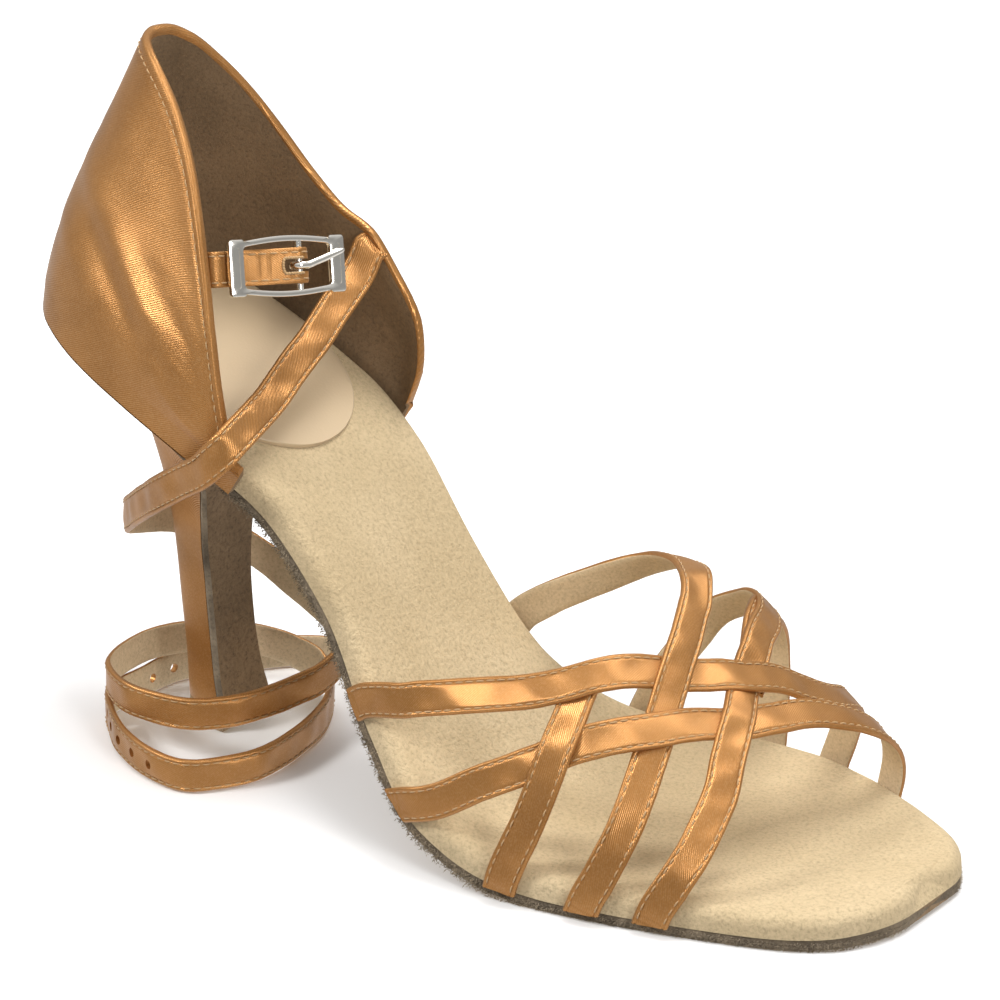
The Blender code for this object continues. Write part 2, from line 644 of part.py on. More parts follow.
def counter_layers():
    turns, top = counter_surface()
    bulge = smooth(COUNTER_BULGES, 1)
    levels = np.linspace(0, 1, COUNTER_LEVELS)
    wall = GAP + COUNTER_WALL
    foot = seat_point(turns, wall, INSOLE_THICK)
    base = seat_point(turns, wall, 0.0)
    out = unit(base - seat_point(turns, 0.0, 0.0))
    low = (top[:, 2] < base[:, 2] + COUNTER_LOWEST)[:, None]
    top = np.where(low, base + np.array([0, 0, COUNTER_LOWEST]), top)
    centred = np.cos(turns / np.abs(turns).max() * math.pi / 2)
    fullness = COUNTER_SIDE_BULGE + (1 - COUNTER_SIDE_BULGE) * centred**2
    rise = top - base
    fullness = fullness * np.clip(rise[:, 2] / (COUNTER_LOW_FORM * COUNTER_HEIGHT), 0, 1)
    columns = [foot, base]
    for level in levels[1:]:
        swell = COUNTER_BULGE * bulge(level) * fullness
        columns.append(base + rise * level + out * swell[:, None])
    outer = np.stack(columns, 1)
    along = np.gradient(outer, axis=0)
    up = np.gradient(outer, axis=1)
    normal = unit(np.cross(up, along))
    flip = np.sign(np.sum(normal * out[:, None, :], axis=-1, keepdims=True))
    share = np.abs(turns) / np.where(turns < 0, -turns[0], turns[-1])
    steady = np.clip((1 - share) / COUNTER_SQUARE, 0, 1)[:, None, None]
    inward = -unit(normal * flip * steady + out[:, None, :] * (1 - steady))
    inner = outer + inward * COUNTER_WALL
    inner[:, 0] = seat_point(turns, GAP, INSOLE_THICK)
    inner[:, 1] = seat_point(turns, GAP, 0.0)
    return [outer, inner]


# The straps
INSTEP_STEP = 0.004         # station and share between the points that a direction is read from


def instep_point(station, share):
    """The form under the vamp straps: station, share of its girth from the outer side."""
    station, share = np.asarray(station, float), np.asarray(share, float)
    stand_off = GAP + STRAP_EASE + STRAP_THICK / 2
    angles = end_angle(station)
    inner = inner_width(angles) + stand_off
    outer = outer_width(angles) + stand_off
    turn = math.pi * np.clip(share, 0, 1)
    wide = -np.sign(np.cos(turn)) * np.abs(np.cos(turn)) ** (2 / INSTEP_POWER)
    tall = np.abs(np.sin(turn)) ** (2 / INSTEP_POWER)
    half = (inner + outer) / 2
    across = (inner - outer) / 2 + half * wide + INSTEP_SKEW * half * tall
    place = on_sole(station, across, INSOLE_ROUND)
    place[..., 2] += INSTEP_HEIGHT * smooth(INSTEP, 1)(station) * tall
    return place


def instep_face(station, share):
    """Directions out of that form."""
    step = INSTEP_STEP
    ahead = instep_point(station + step, share) - instep_point(station - step, share)
    inside = np.clip(share, step, 1 - step)
    over = instep_point(station, inside + step) - instep_point(station, inside - step)
    return unit(np.cross(ahead, over))


def strap_tail(edge_point, before, share, face):
    """Points and facing directions of a strap from the insole's edge on down its side."""
    onward = edge_point - before
    onward = unit(onward - face * onward.dot(face))
    tail = edge_point + onward * STRAP_TAIL * np.linspace(0, 1, TAIL_ROWS + 1)[1:, None]
    away = np.hypot(LINE_X[:, None] - tail[:, 0], LINE_Z[:, None] - tail[:, 2])
    stations = STATIONS[np.argmin(away, axis=0)]
    shares = np.full(TAIL_ROWS, share)
    tail[:, 1] = instep_point(stations, shares)[:, 1]
    return tail, instep_face(stations, shares)


def vamp_route(rows):
    """Points along the middle of a strap and the directions that it faces."""
    route = flowing(rows, VAMP_ROWS)
    station, share, lift = route.T
    faces = instep_face(station, share)
    points = instep_point(station, share) + faces * (lift * STRAP_THICK)[:, None]
    if rows[0][1] == 0:
        tail, tail_faces = strap_tail(points[0], points[1], 0.0, faces[0])
        points = np.concatenate([tail[::-1], points])
        faces = np.concatenate([tail_faces[::-1], faces])
    if rows[-1][1] == 1:
        tail, tail_faces = strap_tail(points[-1], points[-2], 1.0, faces[-1])
        points = np.concatenate([points, tail])
        faces = np.concatenate([faces, tail_faces])
    return points, faces


def sole_cutter():
    """The space below the insole, which cuts the straps off along its lower edge."""
    across = np.linspace(-BALL_WIDTH, BALL_WIDTH, 3)[None, :]
    stations = np.linspace(0, 1 + OVERRUN, 80)[:, None]
    return [on_sole(stations, across, depth) for depth in (INSOLE_THICK, INSOLE_THICK + 2 * STRAP_TAIL)]


def counter_place(reach, across, height):
    return np.array([
        reach * COUNTER_LENGTH - SEAT_BACK, across * SEAT_WIDTH, height * COUNTER_HEIGHT + SEAT_HEIGHT,
    ])


ANKLE_ROWS = 160


def inside_quarter(side, reach, height):
    """A strap's place inside the counter (side +1 inner, -1 outer): the wall's point, the
    direction of the strap's width and the way out of the wall."""
    grid = counter_layers()[1][:, 1:]
    middle = len(grid) // 2
    grid = grid[middle:] if side > 0 else grid[middle::-1]
    x = reach * COUNTER_LENGTH - SEAT_BACK
    z = height * COUNTER_HEIGHT + SEAT_HEIGHT

    def face(level):
        line = np.array([[np.interp(level, row[:, 2], row[:, k]) for k in (0, 1)] for row in grid])
        step = 0.002
        y, ahead, behind = (np.interp(at, line[:, 0], line[:, 1]) for at in (x, x + step, x - step))
        return np.array([x, y, level]), unit(np.array([ahead - behind, -2 * step, 0]) * side)

    low, normal = face(z - STRAP_WIDTH / 2)
    high, _ = face(z + STRAP_WIDTH / 2)
    width = unit(high - low)
    normal = unit(normal - width * normal.dot(width))
    return (low + high) / 2, width, normal


def ankle_route():
    """Points along the middle of the strap, and how far it leans back there."""
    wall, _, normal = inside_quarter(1, *ANKLE_STRAP_START)
    points = [[*(wall + normal * (GAP + STRAP_THICK)), ANKLE_START_LEAN]]
    points += [[*counter_place(*row[:3]), row[3]] for row in ANKLE_CROSSING]
    for angle, reach, height in ANKLE_WINDING:
        turn = math.radians(angle)
        z = (height + 0.5) * STRAP_WIDTH
        x, y = COIL_REACH * reach * math.cos(turn), COIL_REACH * reach * math.sin(turn)
        points.append([x, y, z, 0])
    route = flowing(points, ANKLE_ROWS)
    return route[:, :3], route[:, 3]


def hole_cutter(points, faces):
    """Pegs for the punched holes near the strap's free end."""
    back = points[::-1]
    along = distance_along(back)
    build = bmesh.new()
    for k in range(HOLE_COUNT):
        place = FIRST_HOLE + k * HOLE_PITCH
        middle = Vector([np.interp(place, along, back[:, axis]) for axis in range(3)])
        nearest = np.argmin(np.linalg.norm(points - np.array(middle), axis=1))
        turn = Vector(faces[nearest]).to_track_quat("Z", "Y").to_matrix().to_4x4()
        bmesh.ops.create_cone(
            build, cap_ends=True, segments=8, radius1=HOLE_DIAMETER / 2,
            radius2=HOLE_DIAMETER / 2, depth=3 * STRAP_THICK,
            matrix=Matrix.Translation(middle) @ turn,
        )
    return from_bmesh("strap_holes", build)


# The buckle
def buckle_frame():
    """The buckle's own axes: along it, up its bars and out of its face."""
    level = Vector((math.cos(BUCKLE_HEADING), math.sin(BUCKLE_HEADING), 0))
    along = level * math.cos(BUCKLE_DIP) - Vector((0, 0, math.sin(BUCKLE_DIP)))
    out = Vector((level.y, -level.x, 0)) * math.cos(BUCKLE_LEAN)
    out += Vector((0, 0, math.sin(BUCKLE_LEAN)))
    bars = out.cross(along).normalized()
    out = along.cross(bars)
    matrix = Matrix((along, bars, out)).transposed().to_4x4()
    matrix.translation = counter_place(*BUCKLE_SEAT)
    return matrix


BUCKLE_STRAP_ROWS = 34


def buckle_strap_layers(matrix):
    """Grids of the strap: its points, thickness and direction of width flow together."""
    points = []
    for row in BUCKLE_STRAP_START:
        wall, width, normal = inside_quarter(-1, *row)
        points.append([*(wall + normal * (GAP + STRAP_THICK / 2)), 1.0, *width])
    bars = matrix.col[1][:3]
    for back, out, thick in BUCKLE_FOLD:
        place = matrix @ Vector((-back * BUCKLE_BACK, 0, out * STRAP_THICK))
        points.append([*place, thick, *bars])
    route = flowing(points, BUCKLE_STRAP_ROWS)
    faces = unit(np.cross(unit(np.gradient(route[:, :3], axis=0)), route[:, 4:7]))
    return band(route[:, :3], faces, STRAP_WIDTH, route[:, 3] * STRAP_THICK)


def from_bmesh(name, build):
    mesh = bpy.data.meshes.new(name)
    bmesh.ops.recalc_face_normals(build, faces=build.faces)
    build.to_mesh(mesh)
    build.free()
    return mesh


def rod(name, diameter, length, matrix, sides=16):
    """A round rod along the buckle's bars."""
    build = bmesh.new()
    turn = Matrix.Rotation(math.pi / 2, 4, "X")
    bmesh.ops.create_cone(
        build, cap_ends=True, segments=sides, radius1=diameter / 2, radius2=diameter / 2,
        depth=length, matrix=matrix @ turn,
    )
    return from_bmesh(name, build)


def slot_cutter(matrix):
    build = bmesh.new()
    size = Vector((SLOT_BACK + SLOT_FRONT, SLOT_WIDTH, 6 * STRAP_THICK))
    centre = Vector(((SLOT_FRONT - SLOT_BACK) / 2, 0, 0))
    place = matrix @ Matrix.Translation(centre) @ Matrix.Diagonal((*size, 1))
    bmesh.ops.create_cube(build, size=1.0, matrix=place)
    return from_bmesh("prong_slot", build)


RAIL_ROWS = 9


def frame_mesh(matrix):
    """The frame: two straight end bars and two slightly arched rails."""
    back, front = -BUCKLE_BACK, BUCKLE_FRONT
    half, bar = BUCKLE_HEIGHT / 2, BAR_WIDTH / 2
    window_back, window_front = back + bar, front - bar
    corner = RAIL_WIDTH / 2
    rail = half - BAR_EAR
    outer, inner = [], []
    for place in np.linspace(window_back, window_front, RAIL_ROWS):
        swell = RAIL_ARCH * math.sin(math.pi * (place - window_back) / (window_front - window_back))
        outer.append((place, rail + swell))
        inner.append((place, rail - RAIL_WIDTH + swell))
    inner[0] = (window_back + corner, inner[0][1])
    inner[-1] = (window_front - corner, inner[-1][1])
    inner_corner = rail - RAIL_WIDTH - corner
    outer = [(back - bar, half - corner), (back - bar + corner, half), (back, half)] + outer
    outer += [(front, half), (front + bar - corner, half), (front + bar, half - corner)]
    inner = [(window_back, half / 4), (window_back, half / 2), (window_back, inner_corner)] + inner
    inner += [(window_front, inner_corner), (window_front, half / 2), (window_front, half / 4)]
    outer += [(x, -y) for x, y in reversed(outer)]
    inner += [(x, -y) for x, y in reversed(inner)]
    build = bmesh.new()
    rings = []
    for outline, height in ((outer, 1), (outer, -1), (inner, -1), (inner, 1)):
        z = height * FRAME_THICK / 2
        rings.append([build.verts.new(matrix @ Vector((x, y, z))) for x, y in outline])
    for a, b in zip(rings, rings[1:] + rings[:1]):
        for k in range(len(outer)):
            j = (k + 1) % len(outer)
            build.faces.new([a[k], a[j], b[j], b[k]])
    return from_bmesh("buckle_frame", build)


HOOK_TURNS = np.radians(np.arange(-15, -271, -17))
TONGUE_PAST_BAR = 0.3       # share of BAR_WIDTH that the tongue reaches past the bar's middle
TONGUE_STRAIGHT = 0.15      # share of the tongue before it turns towards its skewed tip
TONGUE_ROWS = 6
TIP_THINNING = 0.6


def prong_layers(matrix):
    """A hook round the centre bar and a tongue that lies aslant on the front bar."""
    radius = PIN_DIAMETER / 2 + GAP + PRONG_THICK / 2
    tongue = BUCKLE_FRONT + TONGUE_PAST_BAR * BAR_WIDTH
    places = [(radius * math.cos(turn), 0, radius * math.sin(turn)) for turn in HOOK_TURNS]
    for share in np.linspace(TONGUE_STRAIGHT, 1.0, TONGUE_ROWS):
        skew = (share - TONGUE_STRAIGHT) / (1 - TONGUE_STRAIGHT) * PRONG_SKEW
        places.append((share * tongue, skew, radius))
    points = np.array([matrix @ Vector(place) for place in places])
    bars = np.array(matrix.col[1][:3])
    faces = unit(np.cross(unit(np.gradient(points, axis=0)), bars))
    thick = np.full(len(points), PRONG_THICK)
    thick[-1] *= TIP_THINNING
    return band(points, faces, PRONG_WIDTH, thick)


def main():
    for old in list(bpy.data.objects):
        bpy.data.objects.remove(old)
    satin = finish("satin", (0.42, 0.22, 0.09), 0.42)
    suede = finish("suede", (0.28, 0.24, 0.18), 0.95)
    cream_suede = finish("cream_suede", (0.52, 0.41, 0.27), 0.95)
    sock_leather = finish("sock_leather", (0.55, 0.43, 0.30), 0.60)
    silver = finish("silver", (0.80, 0.79, 0.77), 0.18, 1.0)

    node("insole", plate("insole", insole_layers()), cream_suede)
    node("heel_sock", plate("heel_sock", sock_layers()), sock_leather)
    node("outsole", plate("outsole", outsole_layers()), suede)
    node("heel", plate("heel", heel_layers()), satin)
    node("heel_tip", plate("heel_tip", tip_layers()), suede)
    node("counter", plate("counter", counter_layers()), satin)

    vamp = None
    for name, rows in VAMP_STRAPS.items():
        mesh = plate(name, band(*vamp_route(rows), STRAP_WIDTH, STRAP_THICK))
        if vamp is None:
            vamp = node("vamp_straps", mesh, satin)
        else:
            combine(vamp, tool(name, mesh), "UNION")
    combine(vamp, tool("sole_cutter", plate("sole_cutter", sole_cutter())), "DIFFERENCE")

    points, lean = ankle_route()
    faces = leaning_faces(points, lean)
    ankle_mesh = plate("ankle_strap", band(points, faces, STRAP_WIDTH, STRAP_THICK))
    ankle = node("ankle_strap", ankle_mesh, satin)
    combine(ankle, tool("strap_holes", hole_cutter(points, faces)), "DIFFERENCE")

    buckle = buckle_frame()
    strap = node("buckle_strap", plate("buckle_strap", buckle_strap_layers(buckle)), satin)
    bore = rod("bar_bore", PIN_DIAMETER + 2 * GAP, 1.5 * STRAP_WIDTH, buckle)
    combine(strap, tool("bar_bore", bore), "DIFFERENCE")
    combine(strap, tool("prong_slot", slot_cutter(buckle)), "DIFFERENCE")
    frame = node("buckle_frame", frame_mesh(buckle), silver, buckle)
    pin = rod("centre_bar", PIN_DIAMETER, BUCKLE_HEIGHT - RAIL_WIDTH, buckle)
    combine(frame, tool("centre_bar", pin), "UNION")
    node("buckle_prong", plate("buckle_prong", prong_layers(buckle)), silver, buckle)


if __name__ == "__main__":
    main()
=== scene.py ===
"""Looks of the right ballroom dance sandal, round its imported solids: metres, +X to the toe."""
import math

import bmesh
import bpy
import numpy as np
from mathutils import Matrix, Vector


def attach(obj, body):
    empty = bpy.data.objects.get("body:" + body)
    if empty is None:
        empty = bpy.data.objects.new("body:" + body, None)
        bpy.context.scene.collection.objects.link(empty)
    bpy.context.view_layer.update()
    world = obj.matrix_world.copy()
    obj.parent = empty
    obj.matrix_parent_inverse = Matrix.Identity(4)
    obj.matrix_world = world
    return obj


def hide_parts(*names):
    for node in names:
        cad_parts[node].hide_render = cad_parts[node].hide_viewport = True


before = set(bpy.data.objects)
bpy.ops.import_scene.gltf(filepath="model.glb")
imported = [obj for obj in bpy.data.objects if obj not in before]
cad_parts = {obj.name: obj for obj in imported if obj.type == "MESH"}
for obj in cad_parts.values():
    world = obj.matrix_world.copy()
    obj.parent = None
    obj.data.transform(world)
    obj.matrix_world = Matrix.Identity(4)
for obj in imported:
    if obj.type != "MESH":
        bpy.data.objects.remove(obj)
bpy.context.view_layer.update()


# Sole and last
SOLE_LENGTH = 0.2003        # seat to toe, along the floor
SEAT_BACK = 0.0343          # the seat's back end behind the tip's centre
SEAT_HEIGHT = 0.0945        # top of the insole above the floor at the seat
BALL_WIDTH = 0.0787
SEAT_WIDTH = 0.0519
WAIST_WIDTH = 0.0439
TOE_SPRING = 0.0010
INSTEP_HEIGHT = 0.0425      # top of the vamp straps' form above the insole
INSOLE_THICK = 0.0048
INSOLE_ROUND = 0.0028
OUTSOLE_THICK = 0.0020
OUTSOLE_INSET = 0.0004
SOCK_THICK = 0.0007
SOCK_INSET = 0.0031
FLAP_THICK = 0.0016
GAP = 0.0003                # clearance between pieces that meet

# Heel
TIP_WIDTH = 0.0142
TIP_DEPTH = 0.0125
TIP_THICK = 0.0050
BREAST_STATION = 0.256      # where the heel's front face meets the sole

# Counter
COUNTER_WALL = 0.0020
COUNTER_HEIGHT = 0.0515     # top of the back above the insole
COUNTER_LENGTH = 0.0710     # seat's back end to the inner quarter's foremost point
COUNTER_BULGE = 0.0016

# Straps
STRAP_WIDTH = 0.0070
STRAP_THICK = 0.0013
COIL_REACH = 0.0240         # from the heel's axis to the strap wound round it
HOLE_DIAMETER = 0.0020
HOLE_PITCH = 0.0066

# Buckle
BUCKLE_SEAT = (0.8676, -0.11175, 0.2330)    # its centre bar, in the shares of ANKLE_CROSSING
BUCKLE_HEADING = math.radians(66)
BUCKLE_DIP = math.radians(7.5)
BUCKLE_LEAN = math.radians(20)
BUCKLE_HEIGHT = 0.0112
BUCKLE_BACK = 0.0139        # centre bar to the middle of the strap's bar
BUCKLE_FRONT = 0.0083       # centre bar to the middle of the prong's bar
BAR_WIDTH = 0.0032
BAR_EAR = 0.0004            # how far the bars' ends stand out past the rails
FRAME_THICK = 0.0014
RAIL_WIDTH = 0.0012
RAIL_ARCH = 0.0008
PIN_DIAMETER = 0.0013
PRONG_WIDTH = 0.0015
PRONG_THICK = 0.0010
PRONG_SKEW = 0.0026         # how far its tip lies up the front bar
SLOT_WIDTH = 0.0024
SLOT_BACK = 0.0036          # the slot's end behind the centre bar

BALL_LEVEL = INSOLE_THICK + GAP + OUTSOLE_THICK

# Finish
TWILL_PITCH = 0.00036
SATIN_DEEP = (0.390, 0.170, 0.043)
SATIN_LIGHT = (0.520, 0.240, 0.070)
EDGE_STITCH = 0.0016        # from the counter's edge to its row of stitches
WEAVE_LIFT = 1.65           # how far the straps part where they cross, against the solids
# Soft creases in the counter: seat station, share of the height, rise along it, length in
# stations, width as a share of the height, height of the ridge
CREASES = [
    (-0.112, 0.46, 0.05, 0.075, 0.075, 0.00060),
    (-0.105, 0.34, 0.08, 0.075, 0.065, -0.00058),
    (-0.185, 0.58, -0.12, 0.070, 0.080, -0.00030),
    (-0.050, 0.25, 0.05, 0.050, 0.050, 0.00025),
    (-0.205, 0.22, 0.10, 0.055, 0.070, 0.00025),
    (0.120, 0.42, 0.05, 0.090, 0.070, 0.00045),
    (0.180, 0.30, -0.06, 0.060, 0.060, -0.00035),
]

# Camera and light
CAMERA_PLACE = (0.6012, -0.7233, 0.4412)
CAMERA_TURN = 36.2087
CAMERA_RISE = 22.7207
CAMERA_LENS = 180.0
FLOOR_SIZE = 3.0
# height of the direction (0 straight down, 1 straight up), brightness
SKY = [(0.0, 1.10), (0.30, 0.78), (0.50, 0.32), (0.62, 0.28), (1.0, 1.0)]
LIGHT_TARGET = (0.06, 0.0, 0.06)
# name, place, size, power
LIGHTS = [
    ("key", (-0.60, -0.80, 0.85), (0.30, 0.30), 9.5),
    ("top", (0.20, 0.25, 1.10), (0.55, 0.55), 8.5),
    ("side", (0.95, -0.35, 0.55), (0.30, 0.45), 5.0),
]

SOCK_END = 0.318            # station of the sock's round front
SOCK_TURN = 0.190           # station where its sides start to curve in
SOCK_POWER = 2.2            # roundness of the front
SOCK_TIP = 0.0004           # what is left of its round form at the very front
FLAP_BEND = math.radians(38)    # slope of the sole where it turns down into the flap
TONGUE_STRAIGHT = 0.15      # share of the tongue before it turns towards its skewed tip

# station, rise from ball to seat
SOLE_RISE = [
    (0.000, 1.000), (0.051, 0.979), (0.111, 0.926), (0.171, 0.866), (0.231, 0.801),
    (0.291, 0.731), (0.349, 0.638), (0.397, 0.518), (0.440, 0.383), (0.489, 0.224),
    (0.567, 0.069), (0.640, 0.013), (0.708, 0.000), (1.000, 0.000),
]

# station, width that the shares follow, share to the inner side, share to the outer side
SOLE_WIDTHS = [
    (0.000, SEAT_WIDTH, 0.000, 0.000),
    (0.020, SEAT_WIDTH, 0.220, 0.225),
    (0.060, SEAT_WIDTH, 0.372, 0.378),
    (0.120, SEAT_WIDTH, 0.468, 0.466),
    (0.160, SEAT_WIDTH, 0.492, 0.486),
    (0.203, SEAT_WIDTH, 0.502, 0.493),
    (0.271, SEAT_WIDTH, 0.500, 0.487),
    (0.348, WAIST_WIDTH, 0.540, 0.532),
    (0.417, WAIST_WIDTH, 0.490, 0.525),
    (0.494, WAIST_WIDTH, 0.545, 0.640),
    (0.562, BALL_WIDTH, 0.405, 0.425),
    (0.630, BALL_WIDTH, 0.518, 0.437),
    (0.689, BALL_WIDTH, 0.578, 0.420),
    (0.757, BALL_WIDTH, 0.585, 0.385),
    (0.825, BALL_WIDTH, 0.552, 0.338),
    (0.883, BALL_WIDTH, 0.498, 0.290),
    (0.932, BALL_WIDTH, 0.435, 0.237),
    (0.966, BALL_WIDTH, 0.378, 0.175),
    (0.985, BALL_WIDTH, 0.325, 0.105),
    (1.000, BALL_WIDTH, 0.212, -0.040),
]

# share of the height, then how far front, back and sides have flared from tip to seat
HEEL_FLARES = [
    (0.00, -0.12, 0.000, 0.000),
    (0.10, -0.30, 0.010, -0.025),
    (0.25, -0.44, 0.050, -0.045),
    (0.40, -0.52, 0.090, -0.040),
    (0.52, -0.54, 0.145, -0.010),
    (0.64, -0.48, 0.255, 0.030),
    (0.76, -0.28, 0.410, 0.125),
    (0.86, 0.02, 0.585, 0.340),
    (0.94, 0.44, 0.790, 0.670),
    (1.00, 1.00, 1.000, 1.000),
]

# seat station (outer side negative), then the counter's edge: share of COUNTER_LENGTH
# forward of the seat's back, share of SEAT_WIDTH to the inner side, share of
# COUNTER_HEIGHT above the insole
COUNTER_EDGE = [
    (-0.309, 0.878, -0.505, -0.587),
    (-0.295, 0.849, -0.520, -0.453),
    (-0.266, 0.816, -0.526, -0.208),
    (-0.232, 0.786, -0.515, 0.038),
    (-0.198, 0.744, -0.478, 0.267),
    (-0.164, 0.691, -0.425, 0.473),
    (-0.130, 0.617, -0.352, 0.663),
    (-0.092, 0.525, -0.282, 0.825),
    (-0.052, 0.417, -0.212, 0.942),
    (-0.018, 0.328, -0.120, 0.990),
    (0.000, 0.286, 0.000, 0.998),
    (0.018, 0.294, 0.095, 0.985),
    (0.052, 0.327, 0.180, 0.937),
    (0.092, 0.377, 0.280, 0.825),
    (0.130, 0.438, 0.366, 0.685),
    (0.164, 0.514, 0.430, 0.520),
    (0.198, 0.596, 0.467, 0.368),
    (0.232, 0.687, 0.492, 0.241),
    (0.266, 0.779, 0.502, 0.174),
    (0.290, 0.873, 0.508, 0.010),
    (0.302, 0.948, 0.508, -0.169),
    (0.312, 0.962, 0.494, -0.330),
    (0.320, 0.910, 0.478, -0.560),
]

# share of the counter's height, share of its bulge
COUNTER_BULGES = [
    (0.00, 0.00), (0.08, 0.42), (0.18, 0.78), (0.30, 0.98), (0.42, 1.00),
    (0.56, 0.80), (0.72, 0.46), (0.86, 0.17), (1.00, 0.00),
]

# station, share of INSTEP_HEIGHT
INSTEP = [
    (0.42, 1.04), (0.52, 1.10), (0.60, 1.15), (0.69, 1.13), (0.767, 0.82),
    (0.835, 0.58), (0.90, 0.42), (1.00, 0.25),
]
INSTEP_POWER = 2.25
INSTEP_SKEW = 0.12
STRAP_EASE = 0.0003         # extra room beside the insole, whose outline curves
STRAP_TAIL = 0.0065         # from the insole's edge to a strap's end, before it is cut off

# Vamp straps: station, share of the girth from the outer to the inner side, lift in
# strap thicknesses. A strap that starts at 0 or ends at 1 runs on down the insole's side.
VAMP_STRAPS = {
    "rear_cross": [
        (0.473, 0.000, 0.0), (0.496, 0.045, 0.0), (0.527, 0.099, 0.0), (0.560, 0.152, 0.0),
        (0.614, 0.209, 0.0), (0.658, 0.245, 0.20), (0.692, 0.280, 0.36), (0.716, 0.325, 0.10),
        (0.741, 0.385, -0.36), (0.757, 0.430, -0.20), (0.769, 0.465, 0.20), (0.784, 0.505, 0.36),
        (0.794, 0.545, 0.10), (0.808, 0.600, -0.30), (0.817, 0.680, -0.36), (0.808, 0.790, 0.0),
        (0.790, 0.900, 0.0), (0.771, 1.000, 0.0),
    ],
    "front_cross": [
        (0.545, 0.000, 0.0), (0.587, 0.046, 0.0), (0.626, 0.097, 0.0), (0.662, 0.136, -0.20),
        (0.690, 0.168, -0.36), (0.722, 0.215, 0.10), (0.758, 0.293, 0.36), (0.784, 0.365, 0.0),
        (0.803, 0.422, -0.36), (0.817, 0.480, 0.0), (0.830, 0.540, 0.30), (0.845, 0.610, 0.36),
        (0.856, 0.700, 0.20), (0.858, 0.800, 0.0), (0.855, 0.910, 0.0), (0.849, 1.000, 0.0),
    ],
    "outer_short": [
        (0.660, 0.000, 0.0), (0.678, 0.064, 0.0), (0.688, 0.120, 0.20), (0.692, 0.170, 0.36),
        (0.693, 0.220, 0.0), (0.691, 0.255, -0.30), (0.689, 0.290, -0.36),
    ],
    "rear_upright": [
        (0.745, 0.000, 0.0), (0.758, 0.045, 0.0), (0.769, 0.120, 0.0), (0.770, 0.198, -0.10),
        (0.762, 0.300, -0.36), (0.751, 0.362, 0.10), (0.741, 0.410, 0.36), (0.731, 0.458, 0.20),
        (0.718, 0.502, 0.0), (0.696, 0.550, 0.0), (0.656, 0.628, 0.0), (0.610, 0.717, 0.0),
        (0.560, 0.810, 0.0), (0.517, 0.900, 0.0), (0.489, 0.965, 0.0), (0.475, 1.000, 0.0),
    ],
    "front_upright": [
        (0.812, 0.000, 0.0), (0.826, 0.070, 0.0), (0.835, 0.160, 0.0), (0.832, 0.272, 0.0),
        (0.818, 0.349, 0.20), (0.802, 0.420, 0.36), (0.790, 0.465, -0.10), (0.777, 0.505, -0.36),
        (0.765, 0.545, -0.10), (0.754, 0.585, 0.0), (0.740, 0.650, 0.0), (0.718, 0.715, 0.0),
        (0.688, 0.765, 0.0), (0.649, 0.816, 0.0), (0.622, 0.882, 0.0), (0.601, 0.940, 0.0),
        (0.584, 1.000, 0.0),
    ],
    "inner_short": [
        (0.786, 0.495, -0.66), (0.766, 0.550, -0.66), (0.742, 0.625, -0.60), (0.720, 0.720, -0.20),
        (0.706, 0.830, 0.0), (0.699, 0.930, 0.0), (0.697, 1.000, 0.0),
    ],
}
TAIL_ROWS = 24

# Where the ankle strap starts at the top of the inner quarter and the buckle strap lies
# inside the outer one: shares of COUNTER_LENGTH forward of the seat's back and of
# COUNTER_HEIGHT above it
ANKLE_STRAP_START = (0.800, 0.122)
ANKLE_START_LEAN = 50       # degrees, along the quarter's top edge
BUCKLE_STRAP_START = [(0.560, 0.258), (0.620, 0.256), (0.680, 0.254)]

# Ankle strap from there over the foot to the outer side: the middle of its width in shares
# of COUNTER_LENGTH forward of the seat's back, SEAT_WIDTH to the inner side and
# COUNTER_HEIGHT above the insole, then how far its width leans back in degrees
ANKLE_CROSSING = [
    (0.796, 0.366, 0.029, 50), (0.806, 0.204, -0.058, 47), (0.817, 0.063, -0.135, 44),
    (0.832, -0.082, -0.187, 42), (0.856, -0.270, -0.260, 40), (0.878, -0.412, -0.288, 38),
    (0.892, -0.545, -0.318, 32), (0.886, -0.607, -0.353, 20), (0.852, -0.628, -0.406, 8),
    (0.799, -0.620, -0.472, 0),
]

# Its winding round the heel, clockwise from above: angle from the toe in degrees, share
# of COIL_REACH, height of the lower edge in strap widths
ANKLE_WINDING = [
    (-62, 1.425, 8.95), (-78, 1.120, 7.95), (-117, 0.770, 6.55), (-162, 0.780, 5.50),
    (-205, 0.740, 4.90), (-245, 0.620, 4.25), (-277, 0.680, 3.60), (-293, 0.870, 2.75),
    (-310, 1.050, 2.00), (-325, 1.060, 1.50), (-345, 0.960, 1.26), (-362, 0.875, 1.16),
    (-389, 0.896, 1.12), (-410, 0.965, 1.10), (-430, 1.010, 1.10), (-460, 1.000, 1.10),
    (-485, 0.975, 1.10), (-503, 0.910, 1.10), (-528, 0.800, 1.10), (-547, 0.735, 1.10),
    (-575, 0.660, 1.10), (-605, 0.610, 1.10), (-630, 0.640, 1.08), (-647, 0.790, 0.80),
    (-656, 0.930, 0.42), (-668, 0.970, 0.16), (-683, 0.945, 0.06), (-707, 0.975, 0.05),
    (-735, 1.120, 0.05), (-757, 1.370, 0.05), (-774, 1.520, 0.05), (-784, 1.545, 0.05),
    (-797, 1.390, 0.05), (-814, 1.190, 0.05), (-835, 1.025, 0.05), (-861, 0.945, 0.05),
    (-888, 0.765, 0.05), (-910, 0.760, 0.05), (-930, 0.780, 0.05), (-970, 0.940, 0.05),
    (-986, 1.160, 0.05), (-998, 1.330, 0.05), (-1010, 1.560, 0.05),
]
HOLE_COUNT = 9
FIRST_HOLE = 0.0440         # from the strap's free end


